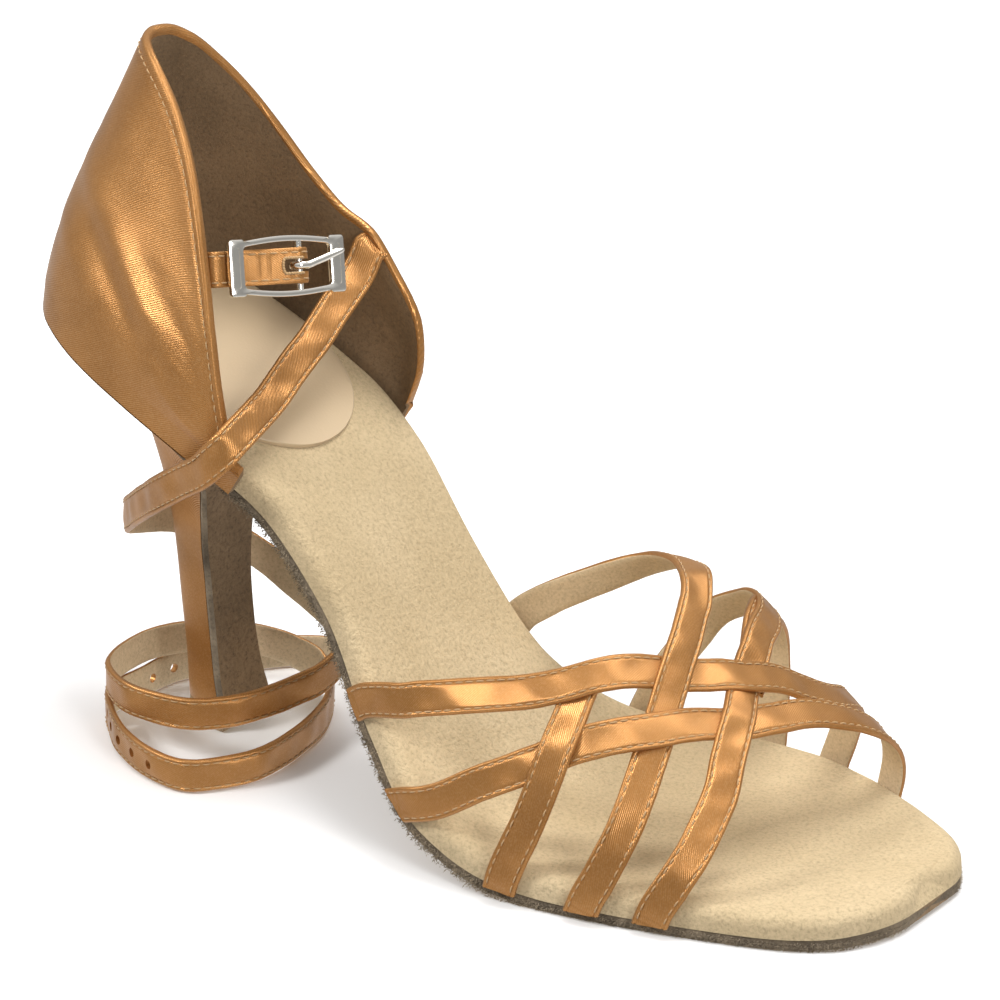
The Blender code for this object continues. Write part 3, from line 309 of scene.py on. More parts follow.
def smooth(table, column, knots=None):
    """A curve without overshoot through one column of a table."""
    x = np.array([row[0] for row in table] if knots is None else knots, float)
    y = np.array([row[column] for row in table], float)
    steps = np.diff(x)
    slopes = np.diff(y) / steps
    tangents = np.zeros(len(x))
    tangents[0], tangents[-1] = slopes[0], slopes[-1]
    for i in range(1, len(x) - 1):
        if slopes[i - 1] * slopes[i] > 0:
            before, after = steps[i - 1] + 2 * steps[i], 2 * steps[i - 1] + steps[i]
            tangents[i] = (before + after) / (before / slopes[i] + after / slopes[i - 1])

    def curve(at):
        at = np.asarray(at, float)
        k = np.clip(np.searchsorted(x, at) - 1, 0, len(steps) - 1)
        s = (np.clip(at, x[0], x[-1]) - x[k]) / steps[k]
        return (
            y[k] * (1 + 2 * s) * (1 - s) ** 2
            + tangents[k] * steps[k] * s * (1 - s) ** 2
            + y[k + 1] * s**2 * (3 - 2 * s)
            + tangents[k + 1] * steps[k] * s**2 * (s - 1)
        )

    return curve


FLOW_STEPS = 16             # between two given points


def flowing(points, count):
    """Points on a round curve through the given ones, evenly spread by their first three
    columns."""
    points = np.array(points, float)
    ends = np.vstack([2 * points[0] - points[1], points, 2 * points[-1] - points[-2]])
    fine = []
    for a, b, c, d in zip(ends, ends[1:], ends[2:], ends[3:]):
        for s in np.linspace(0, 1, FLOW_STEPS, endpoint=False):
            fine.append(
                0.5 * (2 * b + (c - a) * s + (2 * a - 5 * b + 4 * c - d) * s**2
                       + (3 * b - 3 * c + d - a) * s**3)
            )
    fine = np.array(fine + [points[-1]])
    along = distance_along(fine[:, :3])
    even = np.linspace(0, along[-1], count)
    return points_at(even, along, fine)


def points_at(at, distance, points):
    """What the columns of points are at some distances along them."""
    return np.stack([np.interp(at, distance, column) for column in points.T], 1)


def running(steps):
    return np.concatenate([[0], np.cumsum(steps)])


def distance_along(points):
    return running(np.linalg.norm(np.diff(points, axis=0), axis=1))


def unit(vectors):
    return vectors / np.linalg.norm(vectors, axis=-1, keepdims=True)


# The sole's centre line: stations a little past both ends, so that offsets have room
OVERRUN = 0.06
STATIONS = np.linspace(-OVERRUN, 1 + OVERRUN, 561)
RISE_BLEND = 19             # stations that the rise is averaged over
SPRING_START = 0.88


def sole_line():
    rise = smooth(SOLE_RISE, 1)(STATIONS)
    padded = np.pad(rise, RISE_BLEND // 2, mode="edge")
    rise = np.convolve(padded, np.ones(RISE_BLEND) / RISE_BLEND, mode="valid")
    spring = TOE_SPRING * np.clip((STATIONS - SPRING_START) / (1 - SPRING_START), 0, None) ** 2
    x = STATIONS * SOLE_LENGTH - SEAT_BACK
    z = BALL_LEVEL + rise * (SEAT_HEIGHT - BALL_LEVEL) + spring
    along = running(np.hypot(np.diff(x), np.diff(z)))
    slope = unit(np.stack([np.gradient(x), np.gradient(z)], 1))
    return x, z, along, slope


LINE_X, LINE_Z, LINE_ALONG, LINE_SLOPE = sole_line()


def end_angle(station):
    """Stations as an angle, in which round ends have straight sides."""
    return np.arccos(np.clip(1 - 2 * np.asarray(station, float), -1, 1))


WIDTH_KNOTS = end_angle([row[0] for row in SOLE_WIDTHS])
WIDTH_ROWS = [(0, row[1] * row[2], row[1] * row[3]) for row in SOLE_WIDTHS]
inner_width = smooth(WIDTH_ROWS, 1, WIDTH_KNOTS)
outer_width = smooth(WIDTH_ROWS, 2, WIDTH_KNOTS)


def on_sole(station, across, depth):
    """A point below the insole's top by depth, square to the sole."""
    slope_x = np.interp(station, STATIONS, LINE_SLOPE[:, 0])
    slope_z = np.interp(station, STATIONS, LINE_SLOPE[:, 1])
    x = np.interp(station, STATIONS, LINE_X) + slope_z * depth
    z = np.interp(station, STATIONS, LINE_Z) - slope_x * depth
    return np.stack(np.broadcast_arrays(x, across, z), -1)


def edge(angles, side, grow):
    """The insole's outline on one side (+1 inner, -1 outer), grown outwards: stations and
    places across."""
    angles = np.asarray(angles, float)
    step = 0.01
    width = inner_width if side > 0 else outer_width

    def flat(angle):
        station = (1 - np.cos(angle)) / 2
        return np.stack([np.interp(station, STATIONS, LINE_ALONG), side * width(angle)], -1)

    place = flat(angles)
    low, high = np.clip(angles - step, 0, math.pi), np.clip(angles + step, 0, math.pi)
    along = unit(flat(high) - flat(low))
    along[angles < step] = (0, side)
    along[angles > math.pi - step] = (0, -side)
    grown = place + grow * side * np.stack([-along[:, 1], along[:, 0]], -1)
    return np.interp(grown[:, 0], LINE_ALONG, STATIONS), grown[:, 1]


def sole_grid(angles, grow, depth, columns):
    """Rows across the sole from its outer to its inner edge."""
    outer = edge(angles, -1, grow)
    inner = edge(angles, 1, grow)
    share = np.linspace(0, 1, columns + 1)[None, :]
    station = outer[0][:, None] * (1 - share) + inner[0][:, None] * share
    across = outer[1][:, None] * (1 - share) + inner[1][:, None] * share
    return on_sole(station, across, depth)


# The heel's form
HEEL_GROW = GAP + COUNTER_WALL
HEEL_ROWS = 60
TIP_POWER = 2.4
FLARE = [smooth(HEEL_FLARES, k) for k in (1, 2, 3)]


def heel_angles():
    return np.linspace(end_angle(BREAST_STATION), 0, HEEL_ROWS)


TIP_STRAIGHTNESS = 0.8      # crowding of the tip's rows towards its straight front


def tip_grid(columns):
    """The heel's section at the tip: straight in front and round at the back, in the
    rows of the seat."""
    share = (1 - np.cos(np.linspace(0, math.pi, HEEL_ROWS))) / 2
    share = 0.5 * share + 0.5 * np.linspace(0, 1, HEEL_ROWS) ** TIP_STRAIGHTNESS
    x = TIP_DEPTH / 2 - share * TIP_DEPTH
    half = TIP_WIDTH / 2 * np.clip(1 - share**TIP_POWER, 0, 1) ** (1 / TIP_POWER)
    across = np.linspace(-1, 1, columns + 1)[None, :] * half[:, None]
    return np.broadcast_to(x[:, None], across.shape), across


def heel_layer(share, columns):
    """The heel's section at a share of its height."""
    seat = sole_grid(heel_angles(), HEEL_GROW, INSOLE_THICK + GAP, columns)
    tip_x, tip_y = tip_grid(columns)
    front, back, side = (flare(share) for flare in FLARE)
    front_x = tip_x[0] + (seat[0, :, 0] - tip_x[0]) * front
    back_x = tip_x[-1] + (seat[-1, :, 0] - tip_x[-1]) * back
    blend = max(side, 0.0)
    seat_share = (seat[:, :, 0] - seat[0, :, 0]) / (seat[-1, :, 0] - seat[0, :, 0])
    tip_share = (tip_x - tip_x[0]) / (tip_x[-1] - tip_x[0])
    rows = tip_share + (seat_share - tip_share) * blend
    x = front_x + rows * (back_x - front_x)
    y = tip_y + (seat[:, :, 1] - tip_y) * side
    base = TIP_THICK + GAP
    z = base + (seat[:, :, 2] - base) * share
    return np.stack([x, y, z], -1)


# The counter's form
COUNTER_SIDE_BULGE = 0.90   # share of the bulge at the sides
COUNTER_LOWEST = 0.0010     # height of its front corners above the insole
COUNTER_CROWDING = 0.3      # how much closer its rows lie at the front
COUNTER_LOW_FORM = 0.35     # share of its height below which the bulge fades
COUNTER_SQUARE = 0.25       # share of each side where the wall turns square to the sole
COUNTER_ROWS = 221
COUNTER_LEVELS = 60


def counter_surface():
    """Its rows from the outer front round the back to the inner front: how far each has
    turned round the seat and its point on the top edge."""
    knots = [row[0] for row in COUNTER_EDGE]
    reach = smooth(COUNTER_EDGE, 1)
    across = smooth(COUNTER_EDGE, 2)
    height = smooth(COUNTER_EDGE, 3)
    low, high = end_angle(-knots[0]), end_angle(knots[-1])
    spread = np.linspace(-1, 1, COUNTER_ROWS)
    spread = (1 + COUNTER_CROWDING) * spread - COUNTER_CROWDING * spread**3
    turns = np.where(spread < 0, low, high) * spread
    stations = np.sign(turns) * (1 - np.cos(turns)) / 2
    top = np.stack([
        reach(stations) * COUNTER_LENGTH - SEAT_BACK,
        across(stations) * SEAT_WIDTH,
        height(stations) * COUNTER_HEIGHT + SEAT_HEIGHT,
    ], -1)
    return turns, top


def seat_point(turns, grow, depth):
    """Points round the seat's outline, outer side for negative turns."""
    outer = edge(np.abs(turns), -1, grow)
    inner = edge(np.abs(turns), 1, grow)
    is_inner = turns > 0
    station = np.where(is_inner, inner[0], outer[0])
    across = np.where(is_inner, inner[1], outer[1])
    return on_sole(station, across, depth)


def counter_layers():
    turns, top = counter_surface()
    bulge = smooth(COUNTER_BULGES, 1)
    levels = np.linspace(0, 1, COUNTER_LEVELS)
    wall = GAP + COUNTER_WALL
    foot = seat_point(turns, wall, INSOLE_THICK)
    base = seat_point(turns, wall, 0.0)
    out = unit(base - seat_point(turns, 0.0, 0.0))
    low = (top[:, 2] < base[:, 2] + COUNTER_LOWEST)[:, None]
    top = np.where(low, base + np.array([0, 0, COUNTER_LOWEST]), top)
    centred = np.cos(turns / np.abs(turns).max() * math.pi / 2)
    fullness = COUNTER_SIDE_BULGE + (1 - COUNTER_SIDE_BULGE) * centred**2
    rise = top - base
    fullness = fullness * np.clip(rise[:, 2] / (COUNTER_LOW_FORM * COUNTER_HEIGHT), 0, 1)
    columns = [foot, base]
    for level in levels[1:]:
        swell = COUNTER_BULGE * bulge(level) * fullness
        columns.append(base + rise * level + out * swell[:, None])
    outer = np.stack(columns, 1)
    along = np.gradient(outer, axis=0)
    up = np.gradient(outer, axis=1)
    normal = unit(np.cross(up, along))
    flip = np.sign(np.sum(normal * out[:, None, :], axis=-1, keepdims=True))
    share = np.abs(turns) / np.where(turns < 0, -turns[0], turns[-1])
    steady = np.clip((1 - share) / COUNTER_SQUARE, 0, 1)[:, None, None]
    inward = -unit(normal * flip * steady + out[:, None, :] * (1 - steady))
    inner = outer + inward * COUNTER_WALL
    inner[:, 0] = seat_point(turns, GAP, INSOLE_THICK)
    inner[:, 1] = seat_point(turns, GAP, 0.0)
    return [outer, inner]


# The form under the straps
INSTEP_STEP = 0.004         # station and share between the points that a direction is read from


def instep_point(station, share):
    """The form under the vamp straps: station, share of its girth from the outer side."""
    station, share = np.asarray(station, float), np.asarray(share, float)
    stand_off = GAP + STRAP_EASE + STRAP_THICK / 2
    angles = end_angle(station)
    inner = inner_width(angles) + stand_off
    outer = outer_width(angles) + stand_off
    turn = math.pi * np.clip(share, 0, 1)
    wide = -np.sign(np.cos(turn)) * np.abs(np.cos(turn)) ** (2 / INSTEP_POWER)
    tall = np.abs(np.sin(turn)) ** (2 / INSTEP_POWER)
    half = (inner + outer) / 2
    across = (inner - outer) / 2 + half * wide + INSTEP_SKEW * half * tall
    place = on_sole(station, across, INSOLE_ROUND)
    place[..., 2] += INSTEP_HEIGHT * smooth(INSTEP, 1)(station) * tall
    return place


def instep_face(station, share):
    """Directions out of that form."""
    step = INSTEP_STEP
    ahead = instep_point(station + step, share) - instep_point(station - step, share)
    inside = np.clip(share, step, 1 - step)
    over = instep_point(station, inside + step) - instep_point(station, inside - step)
    return unit(np.cross(ahead, over))


def strap_tail(edge_point, before, share, face):
    """Points and facing directions of a strap from the insole's edge on down its side."""
    onward = edge_point - before
    onward = unit(onward - face * onward.dot(face))
    tail = edge_point + onward * STRAP_TAIL * np.linspace(0, 1, TAIL_ROWS + 1)[1:, None]
    away = np.hypot(LINE_X[:, None] - tail[:, 0], LINE_Z[:, None] - tail[:, 2])
    stations = STATIONS[np.argmin(away, axis=0)]
    shares = np.full(TAIL_ROWS, share)
    tail[:, 1] = instep_point(stations, shares)[:, 1]
    return tail, instep_face(stations, shares)


def leaning_faces(points, lean):
    """Facing directions of a strap along the points, its width upright or leaning back by
    some degrees."""
    along = unit(np.gradient(points, axis=0))
    lean = np.radians(lean)
    width = np.stack([-np.sin(lean), np.zeros(len(lean)), np.cos(lean)], -1)
    return unit(np.cross(along, width))


def counter_place(reach, across, height):
    x, z = reach * COUNTER_LENGTH - SEAT_BACK, height * COUNTER_HEIGHT + SEAT_HEIGHT
    return np.array([x, across * SEAT_WIDTH, z])


ANKLE_ROWS = 1500


def inside_quarter(side, reach, height):
    """A strap's place inside the counter (side +1 inner, -1 outer): the wall's point, the
    direction of the strap's width and the way out of the wall."""
    grid = counter_layers()[1][:, 1:]
    middle = len(grid) // 2
    grid = grid[middle:] if side > 0 else grid[middle::-1]
    x = reach * COUNTER_LENGTH - SEAT_BACK
    z = height * COUNTER_HEIGHT + SEAT_HEIGHT

    def face(level):
        line = np.array([[np.interp(level, row[:, 2], row[:, k]) for k in (0, 1)] for row in grid])
        step = 0.002
        y, ahead, behind = (np.interp(at, line[:, 0], line[:, 1]) for at in (x, x + step, x - step))
        return np.array([x, y, level]), unit(np.array([ahead - behind, -2 * step, 0]) * side)

    low, normal = face(z - STRAP_WIDTH / 2)
    high, _ = face(z + STRAP_WIDTH / 2)
    width = unit(high - low)
    normal = unit(normal - width * normal.dot(width))
    return (low + high) / 2, width, normal


def ankle_route():
    """Points along the middle of the strap, and how far it leans back there."""
    wall, _, normal = inside_quarter(1, *ANKLE_STRAP_START)
    points = [[*(wall + normal * (GAP + STRAP_THICK)), ANKLE_START_LEAN]]
    points += [[*counter_place(*row[:3]), row[3]] for row in ANKLE_CROSSING]
    for angle, reach, height in ANKLE_WINDING:
        turn = math.radians(angle)
        z = (height + 0.5) * STRAP_WIDTH
        x, y = COIL_REACH * reach * math.cos(turn), COIL_REACH * reach * math.sin(turn)
        points.append([x, y, z, 0])
    route = flowing(points, ANKLE_ROWS)
    return route[:, :3], route[:, 3]


def hole_cutter(points, faces):
    """Pegs for the punched holes near the strap's free end."""
    back = points[::-1]
    along = distance_along(back)
    build = bmesh.new()
    for k in range(HOLE_COUNT):
        place = FIRST_HOLE + k * HOLE_PITCH
        middle = Vector([np.interp(place, along, back[:, axis]) for axis in range(3)])
        nearest = np.argmin(np.linalg.norm(points - np.array(middle), axis=1))
        turn = Vector(faces[nearest]).to_track_quat("Z", "Y").to_matrix().to_4x4()
        bmesh.ops.create_cone(
            build, cap_ends=True, segments=16, radius1=HOLE_DIAMETER / 2,
            radius2=HOLE_DIAMETER / 2, depth=3 * STRAP_THICK,
            matrix=Matrix.Translation(middle) @ turn,
        )
    return from_bmesh("strap_holes", build)


def buckle_frame():
    """The buckle's own axes: along it, up its bars and out of its face."""
    level = Vector((math.cos(BUCKLE_HEADING), math.sin(BUCKLE_HEADING), 0))
    along = level * math.cos(BUCKLE_DIP) - Vector((0, 0, math.sin(BUCKLE_DIP)))
    out = Vector((level.y, -level.x, 0)) * math.cos(BUCKLE_LEAN)
    out += Vector((0, 0, math.sin(BUCKLE_LEAN)))
    bars = out.cross(along).normalized()
    out = along.cross(bars)
    matrix = Matrix((along, bars, out)).transposed().to_4x4()
    matrix.translation = counter_place(*BUCKLE_SEAT)
    return matrix


# Building meshes
def wander(distance, seed, scale, octaves=4):
    """Smooth irregular values along a distance, between about -1 and 1."""
    draw = np.random.default_rng(seed)
    total = np.zeros(np.shape(distance))
    for k in range(octaves):
        turn, phase = draw.uniform(0.7, 1.4) * 2**k, draw.uniform(0, 2 * math.pi)
        total += np.sin(2 * math.pi * distance / scale * turn + phase) / 1.6**k
    return total / 2


def placed(name, data):
    made = bpy.data.objects.new(name, data)
    bpy.context.collection.objects.link(made)
    return made


def new_mesh(name, verts, faces, materials):
    mesh = bpy.data.meshes.new(name)
    mesh.from_pydata(verts, [], faces)
    for look in materials:
        mesh.materials.append(look)
    return mesh


def hull(name, rings, materials, kinds, body="root", u=None, v=None, smooth_angle=40):
    """A closed body from rings [row][place round the ring], with metres as its UV map.

    kinds holds one material number for each place, or one for each row and place; u has a
    value for each row, or for each row and place, and v one for each place and the seam."""
    rings = np.asarray(rings, float)
    rows, places = rings.shape[:2]
    kinds = np.broadcast_to(np.asarray(kinds), (rows, places))
    middle = rings.mean(axis=1)
    if u is None:
        u = running(np.linalg.norm(np.diff(rings, axis=0), axis=2).max(axis=1))
    if v is None:
        closed = np.concatenate([rings, rings[:, :1]], axis=1)
        v = running(np.linalg.norm(np.diff(closed, axis=1), axis=2).mean(axis=0))
    if u.ndim == 1:
        u = np.repeat(u[:, None], places, axis=1)
    u = np.concatenate([u, u[:, :1]], axis=1)
    v = np.broadcast_to(np.array(v, float), (rows, places + 1))
    r, c = np.meshgrid(np.arange(rows - 1), np.arange(places), indexing="ij")
    r, c = r.ravel(), c.ravel()
    d = (c + 1) % places
    quads = np.stack([r * places + c, r * places + d, (r + 1) * places + d, (r + 1) * places + c], 1)
    mats = list(kinds[r, c])
    corners = ((r, c), (r, c + 1), (r + 1, c + 1), (r + 1, c))
    uvs = np.stack([np.stack([u[at], v[at]], 1) for at in corners], 1).reshape(-1, 2)
    faces = quads.tolist()
    verts = rings.reshape(-1, 3).tolist()
    loops = uvs.tolist()
    for row, flipped in ((0, True), (rows - 1, False)):
        hub = len(verts)
        verts.append(middle[row].tolist())
        for k in range(places):
            a, b = row * places + k, row * places + (k + 1) % places
            faces.append([hub, b, a] if flipped else [hub, a, b])
            mats.append(int(kinds[row, k]))
            loops += [[u[row, k], v[row, k]]] * 3
    mesh = new_mesh(name, verts, faces, materials)
    layer = mesh.uv_layers.new(name="UVMap")
    layer.data.foreach_set("uv", np.array(loops, np.float32).ravel())
    mesh.polygons.foreach_set("material_index", np.array(mats, np.int32))
    return settle(name, mesh, body, smooth_angle)


MERGE = 2e-7                # corners closer than this become one
THINNEST = 1e-7


def settle(name, mesh, body, smooth_angle):
    """Cleans a mesh and makes it a piece on its body."""
    build = bmesh.new()
    build.from_mesh(mesh)
    bmesh.ops.remove_doubles(build, verts=build.verts, dist=MERGE)
    bmesh.ops.dissolve_degenerate(build, dist=THINNEST, edges=build.edges)
    bmesh.ops.recalc_face_normals(build, faces=build.faces)
    build.to_mesh(mesh)
    build.free()
    piece = placed(name, mesh)
    mesh.shade_smooth()
    mesh.set_sharp_from_angle(angle=math.radians(smooth_angle))
    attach(piece, body)
    return piece


# A strap's section and its stitches
STITCH_IN = 0.370           # share of the width from the middle to a row of stitches
GROOVE = 0.13               # depth of the stitched groove in strap thicknesses
GROOVE_WIDTH = 0.028        # half its width in shares of the strap's width
FACE_PLACES = [
    0.0, 0.08, 0.16, 0.23, 0.29, 0.325, 0.35, 0.37, 0.39, 0.415, 0.44, 0.465, 0.485, 0.497,
]
# share of the width, share of the thickness, both from the middle, and 1 for the lining
LINING_SIDE = [
    (0.5, 0.0, 0), (0.492, -0.30, 1), (0.46, -0.44, 1), (0.30, -0.5, 1), (0.10, -0.5, 1),
    (-0.10, -0.5, 1), (-0.30, -0.5, 1), (-0.46, -0.44, 1), (-0.492, -0.30, 0), (-0.5, 0.0, 0),
]
EDGE_FALL = 0.32            # how far the face falls towards its edges, in strap thicknesses
EDGE_FALL_START = 0.43
EDGE_FALL_LENGTH = 0.067
SWELL = 0.00030             # slow waves in a strap's face
TILT = 0.00016
EDGE_WAVE = 0.008           # share of the width
SWELL_SPAN = 0.019          # lengths of those waves and of the edges' waves
TILT_SPAN = 0.027
EDGE_SPAN = 0.009
PINCH = 0.00012             # how much deeper the groove is at each stitch
PINCH_WIDTH = 0.05
PILLOW_WIDTH = 0.36
LANE_END = 0.0015           # from a strap's end to its stitches


def strap_profile():
    """Places round a strap's section: across, out, and the number of their material."""
    across = np.array([-place for place in FACE_PLACES[::-1]] + FACE_PLACES[1:])
    fall = np.clip((np.abs(across) - EDGE_FALL_START) / EDGE_FALL_LENGTH, 0, 1)
    out = 0.5 - EDGE_FALL * fall**2 - GROOVE * bell(np.abs(across), STITCH_IN, GROOVE_WIDTH)
    low, low_out, kinds = np.array(LINING_SIDE).T
    kinds = np.concatenate([np.zeros(len(across)), kinds]).astype(int)
    return np.concatenate([across, low]), np.concatenate([out, low_out]), kinds


def bell(values, middle, width):
    """1 at the middle, falling away on both sides."""
    return np.exp(-(((values - middle) / width) ** 2))


def swept(points, side, face, across, out):
    """Rings along a line of points: how far each place lies to the side and out of the face."""
    return points[:, None, :] + side[:, None, :] * across[..., None] + face[:, None, :] * out[..., None]


def ribbon(name, points, faces, seed, ripple=1.0, on_vamp=False):
    """A stitched strap along the points, satin outside and lining inside."""
    along = unit(np.gradient(points, axis=0))
    side = unit(np.cross(faces, along))
    face = np.cross(along, side)
    across, out, kinds = strap_profile()
    front = out > 0
    distance = distance_along(points)
    pinch = 0.75 + 0.25 * np.cos(2 * math.pi * distance / STITCH_PITCH)
    swell = SWELL * ripple * wander(distance, seed, SWELL_SPAN, 2)
    tilt = TILT * ripple * wander(distance, seed + 50, TILT_SPAN, 2)
    edge_wave = 1 + EDGE_WAVE * wander(distance, seed + 90, EDGE_SPAN)
    groove = bell(np.abs(across), STITCH_IN, PINCH_WIDTH) * front
    pillow = np.clip(1 - (across / PILLOW_WIDTH) ** 2, 0, 1) * front
    offset = out[None, :] * STRAP_THICK + groove[None, :] * ((pinch - 1) * PINCH)[:, None]
    offset = offset + swell[:, None] * pillow[None, :] + tilt[:, None] * (across * 2 * front)[None, :]
    wide = across[None, :] * edge_wave[:, None] * STRAP_WIDTH
    rings = swept(points, side, face, wide, offset)
    u = np.repeat(distance[:, None], len(across), axis=1)
    if on_vamp:
        rings, u = cut_at_feather(rings, u)
    v = np.concatenate([across, across[:1]]) * STRAP_WIDTH
    piece = hull(name, rings, [satin, lining], kinds, u=u, v=v, smooth_angle=50)
    return piece, (points, side, face, distance)


STITCH_PITCH = 0.0021
STITCH_LENGTH = 0.0016
THREAD = 0.00033
STITCH_BOW = np.array([-0.35, 0.28, 0.42, 0.28, -0.35])     # its rise in threads
STITCH_THICK = np.array([0.30, 0.46, 0.5, 0.46, 0.30])      # its radius in threads
FIBRE_LENGTH = 0.00075
FIBRE_WIDTH = 0.00024
FIBRE_SPREAD = 0.00045
FIBRE_LENGTHS = (0.4, 1.3)  # shares of FIBRE_LENGTH
FIBRE_ALONG = 0.7           # how far fibres turn along the edge and up or down
FIBRE_UP = 0.5


def stitches(name, lanes, pitch=STITCH_PITCH, length=STITCH_LENGTH, wide=THREAD):
    """Joined thread loops along lanes of (points, directions out of the surface)."""
    sides, steps = 6, len(STITCH_BOW)
    verts, faces = [], []
    for points, outs in lanes:
        distance = distance_along(points)
        count = max(1, int(distance[-1] / pitch))
        gap = distance[-1] / count
        for k in range(count):
            at = (k + 0.5) * gap + length * np.linspace(-0.5, 0.5, steps)
            out = unit(points_at(at, distance, outs))
            line = points_at(at, distance, points) + out * (STITCH_BOW * wide)[:, None]
            ahead = unit(np.gradient(line, axis=0))
            across = unit(np.cross(ahead, out))
            up = np.cross(across, ahead)
            base = len(verts)
            for row in range(steps):
                thick = STITCH_THICK[row] * wide
                for turn in np.linspace(0, 2 * math.pi, sides, endpoint=False):
                    around = math.cos(turn) * across[row] + math.sin(turn) * up[row]
                    verts.append(line[row] + thick * around)
            for row in range(steps - 1):
                for j in range(sides):
                    a, b = base + row * sides + j, base + row * sides + (j + 1) % sides
                    faces.append([a, b, b + sides, a + sides])
            faces.append([base + j for j in range(sides)][::-1])
            faces.append([base + (steps - 1) * sides + j for j in range(sides)])
    return settle(name, new_mesh(name, verts, faces, [thread]), "root", 80)


def strap_lanes(lane, start=LANE_END, on_vamp=False):
    """Where the two rows of stitches run on a strap."""
    points, side, face, distance = lane
    keep = (distance >= start) & (distance <= distance[-1] - LANE_END)
    found = []
    for row in (-STITCH_IN, STITCH_IN):
        line = points + side * row * STRAP_WIDTH + face * ((0.5 - GROOVE * 0.9) * STRAP_THICK)
        kept = keep & (above_sole(line) > 0.0005) if on_vamp else keep
        found.append((line[kept], face[kept]))
    return found


def above_sole(points):
    """How far points lie above the lower edge of the insole, where the vamp straps are cut."""
    edge_line = on_sole(STATIONS, 0.0, INSOLE_THICK)
    return points[..., 2] - np.interp(points[..., 0], edge_line[:, 0], edge_line[:, 2])


def cut_at_feather(rings, u):
    """The strap slid along its own lines until both ends stop at the insole's lower edge."""
    height = above_sole(rings)
    rows = np.arange(len(rings))
    cut, cut_u = np.empty_like(rings), np.empty_like(u)
    for k in range(rings.shape[1]):
        clear = np.flatnonzero(height[:, k] > 0)
        first, last = clear[0], clear[-1]
        start, end = float(first), float(last)
        if first > 0:
            start -= height[first, k] / (height[first, k] - height[first - 1, k])
        if last < len(rows) - 1:
            end += height[last, k] / (height[last, k] - height[last + 1, k])
        at = np.linspace(start, end, len(rows))
        cut[:, k] = points_at(at, rows, rings[:, k])
        cut_u[:, k] = np.interp(at, rows, u[:, k])
    return cut, cut_u


def fibres(name, lines, per_metre, seed):
    """Loose fibres that stand out of cut edges, given as (points, directions out)."""
    draw = np.random.default_rng(seed)
    verts, faces = [], []
    for points, outs in lines:
        distance = distance_along(points)
        count = int(per_metre * distance[-1])
        at = draw.uniform(0, distance[-1], count)
        base = points_at(at, distance, points)
        out = points_at(at, distance, outs)
        along = unit(points_at(at, distance, np.gradient(points, axis=0)))
        up = np.cross(out, along)
        base = base + up * draw.normal(0, FIBRE_SPREAD, (count, 1))
        tip = out + along * draw.normal(0, FIBRE_ALONG, (count, 1))
        tip = tip + up * draw.normal(0, FIBRE_UP, (count, 1))
        tip = base + unit(tip) * FIBRE_LENGTH * draw.uniform(*FIBRE_LENGTHS, (count, 1))
        base[:, 2] = np.maximum(base[:, 2], FIBRE_WIDTH)
        tip[:, 2] = np.maximum(tip[:, 2], FIBRE_WIDTH)
        for k in range(count):
            first = len(verts)
            wide, tall = along[k] * FIBRE_WIDTH / 2, up[k] * FIBRE_WIDTH / 2
            verts += [base[k] - wide, base[k] + wide, base[k] + tall, tip[k]]
            faces += [[first + i for i in face] for face in ((0, 2, 1), (0, 1, 3), (1, 2, 3), (2, 0, 3))]
    return settle(name, new_mesh(name, verts, faces, [loose_fibre]), "root", 80)


# Materials
def material(name, colour, roughness, metallic=0.0, sheen=0.0, sheen_tint=(1, 1, 1)):
    made = bpy.data.materials.new(name)
    made.use_nodes = True
    for socket, value in (
        ("Base Color", (*colour, 1)), ("Roughness", roughness), ("Metallic", metallic),
        ("Sheen Weight", sheen), ("Sheen Roughness", 0.45), ("Sheen Tint", (*sheen_tint, 1)),
    ):
        made.node_tree.nodes["Principled BSDF"].inputs[socket].default_value = value
    return made


def shaded(colour, factor):
    return tuple(min(1, factor * value) for value in colour)


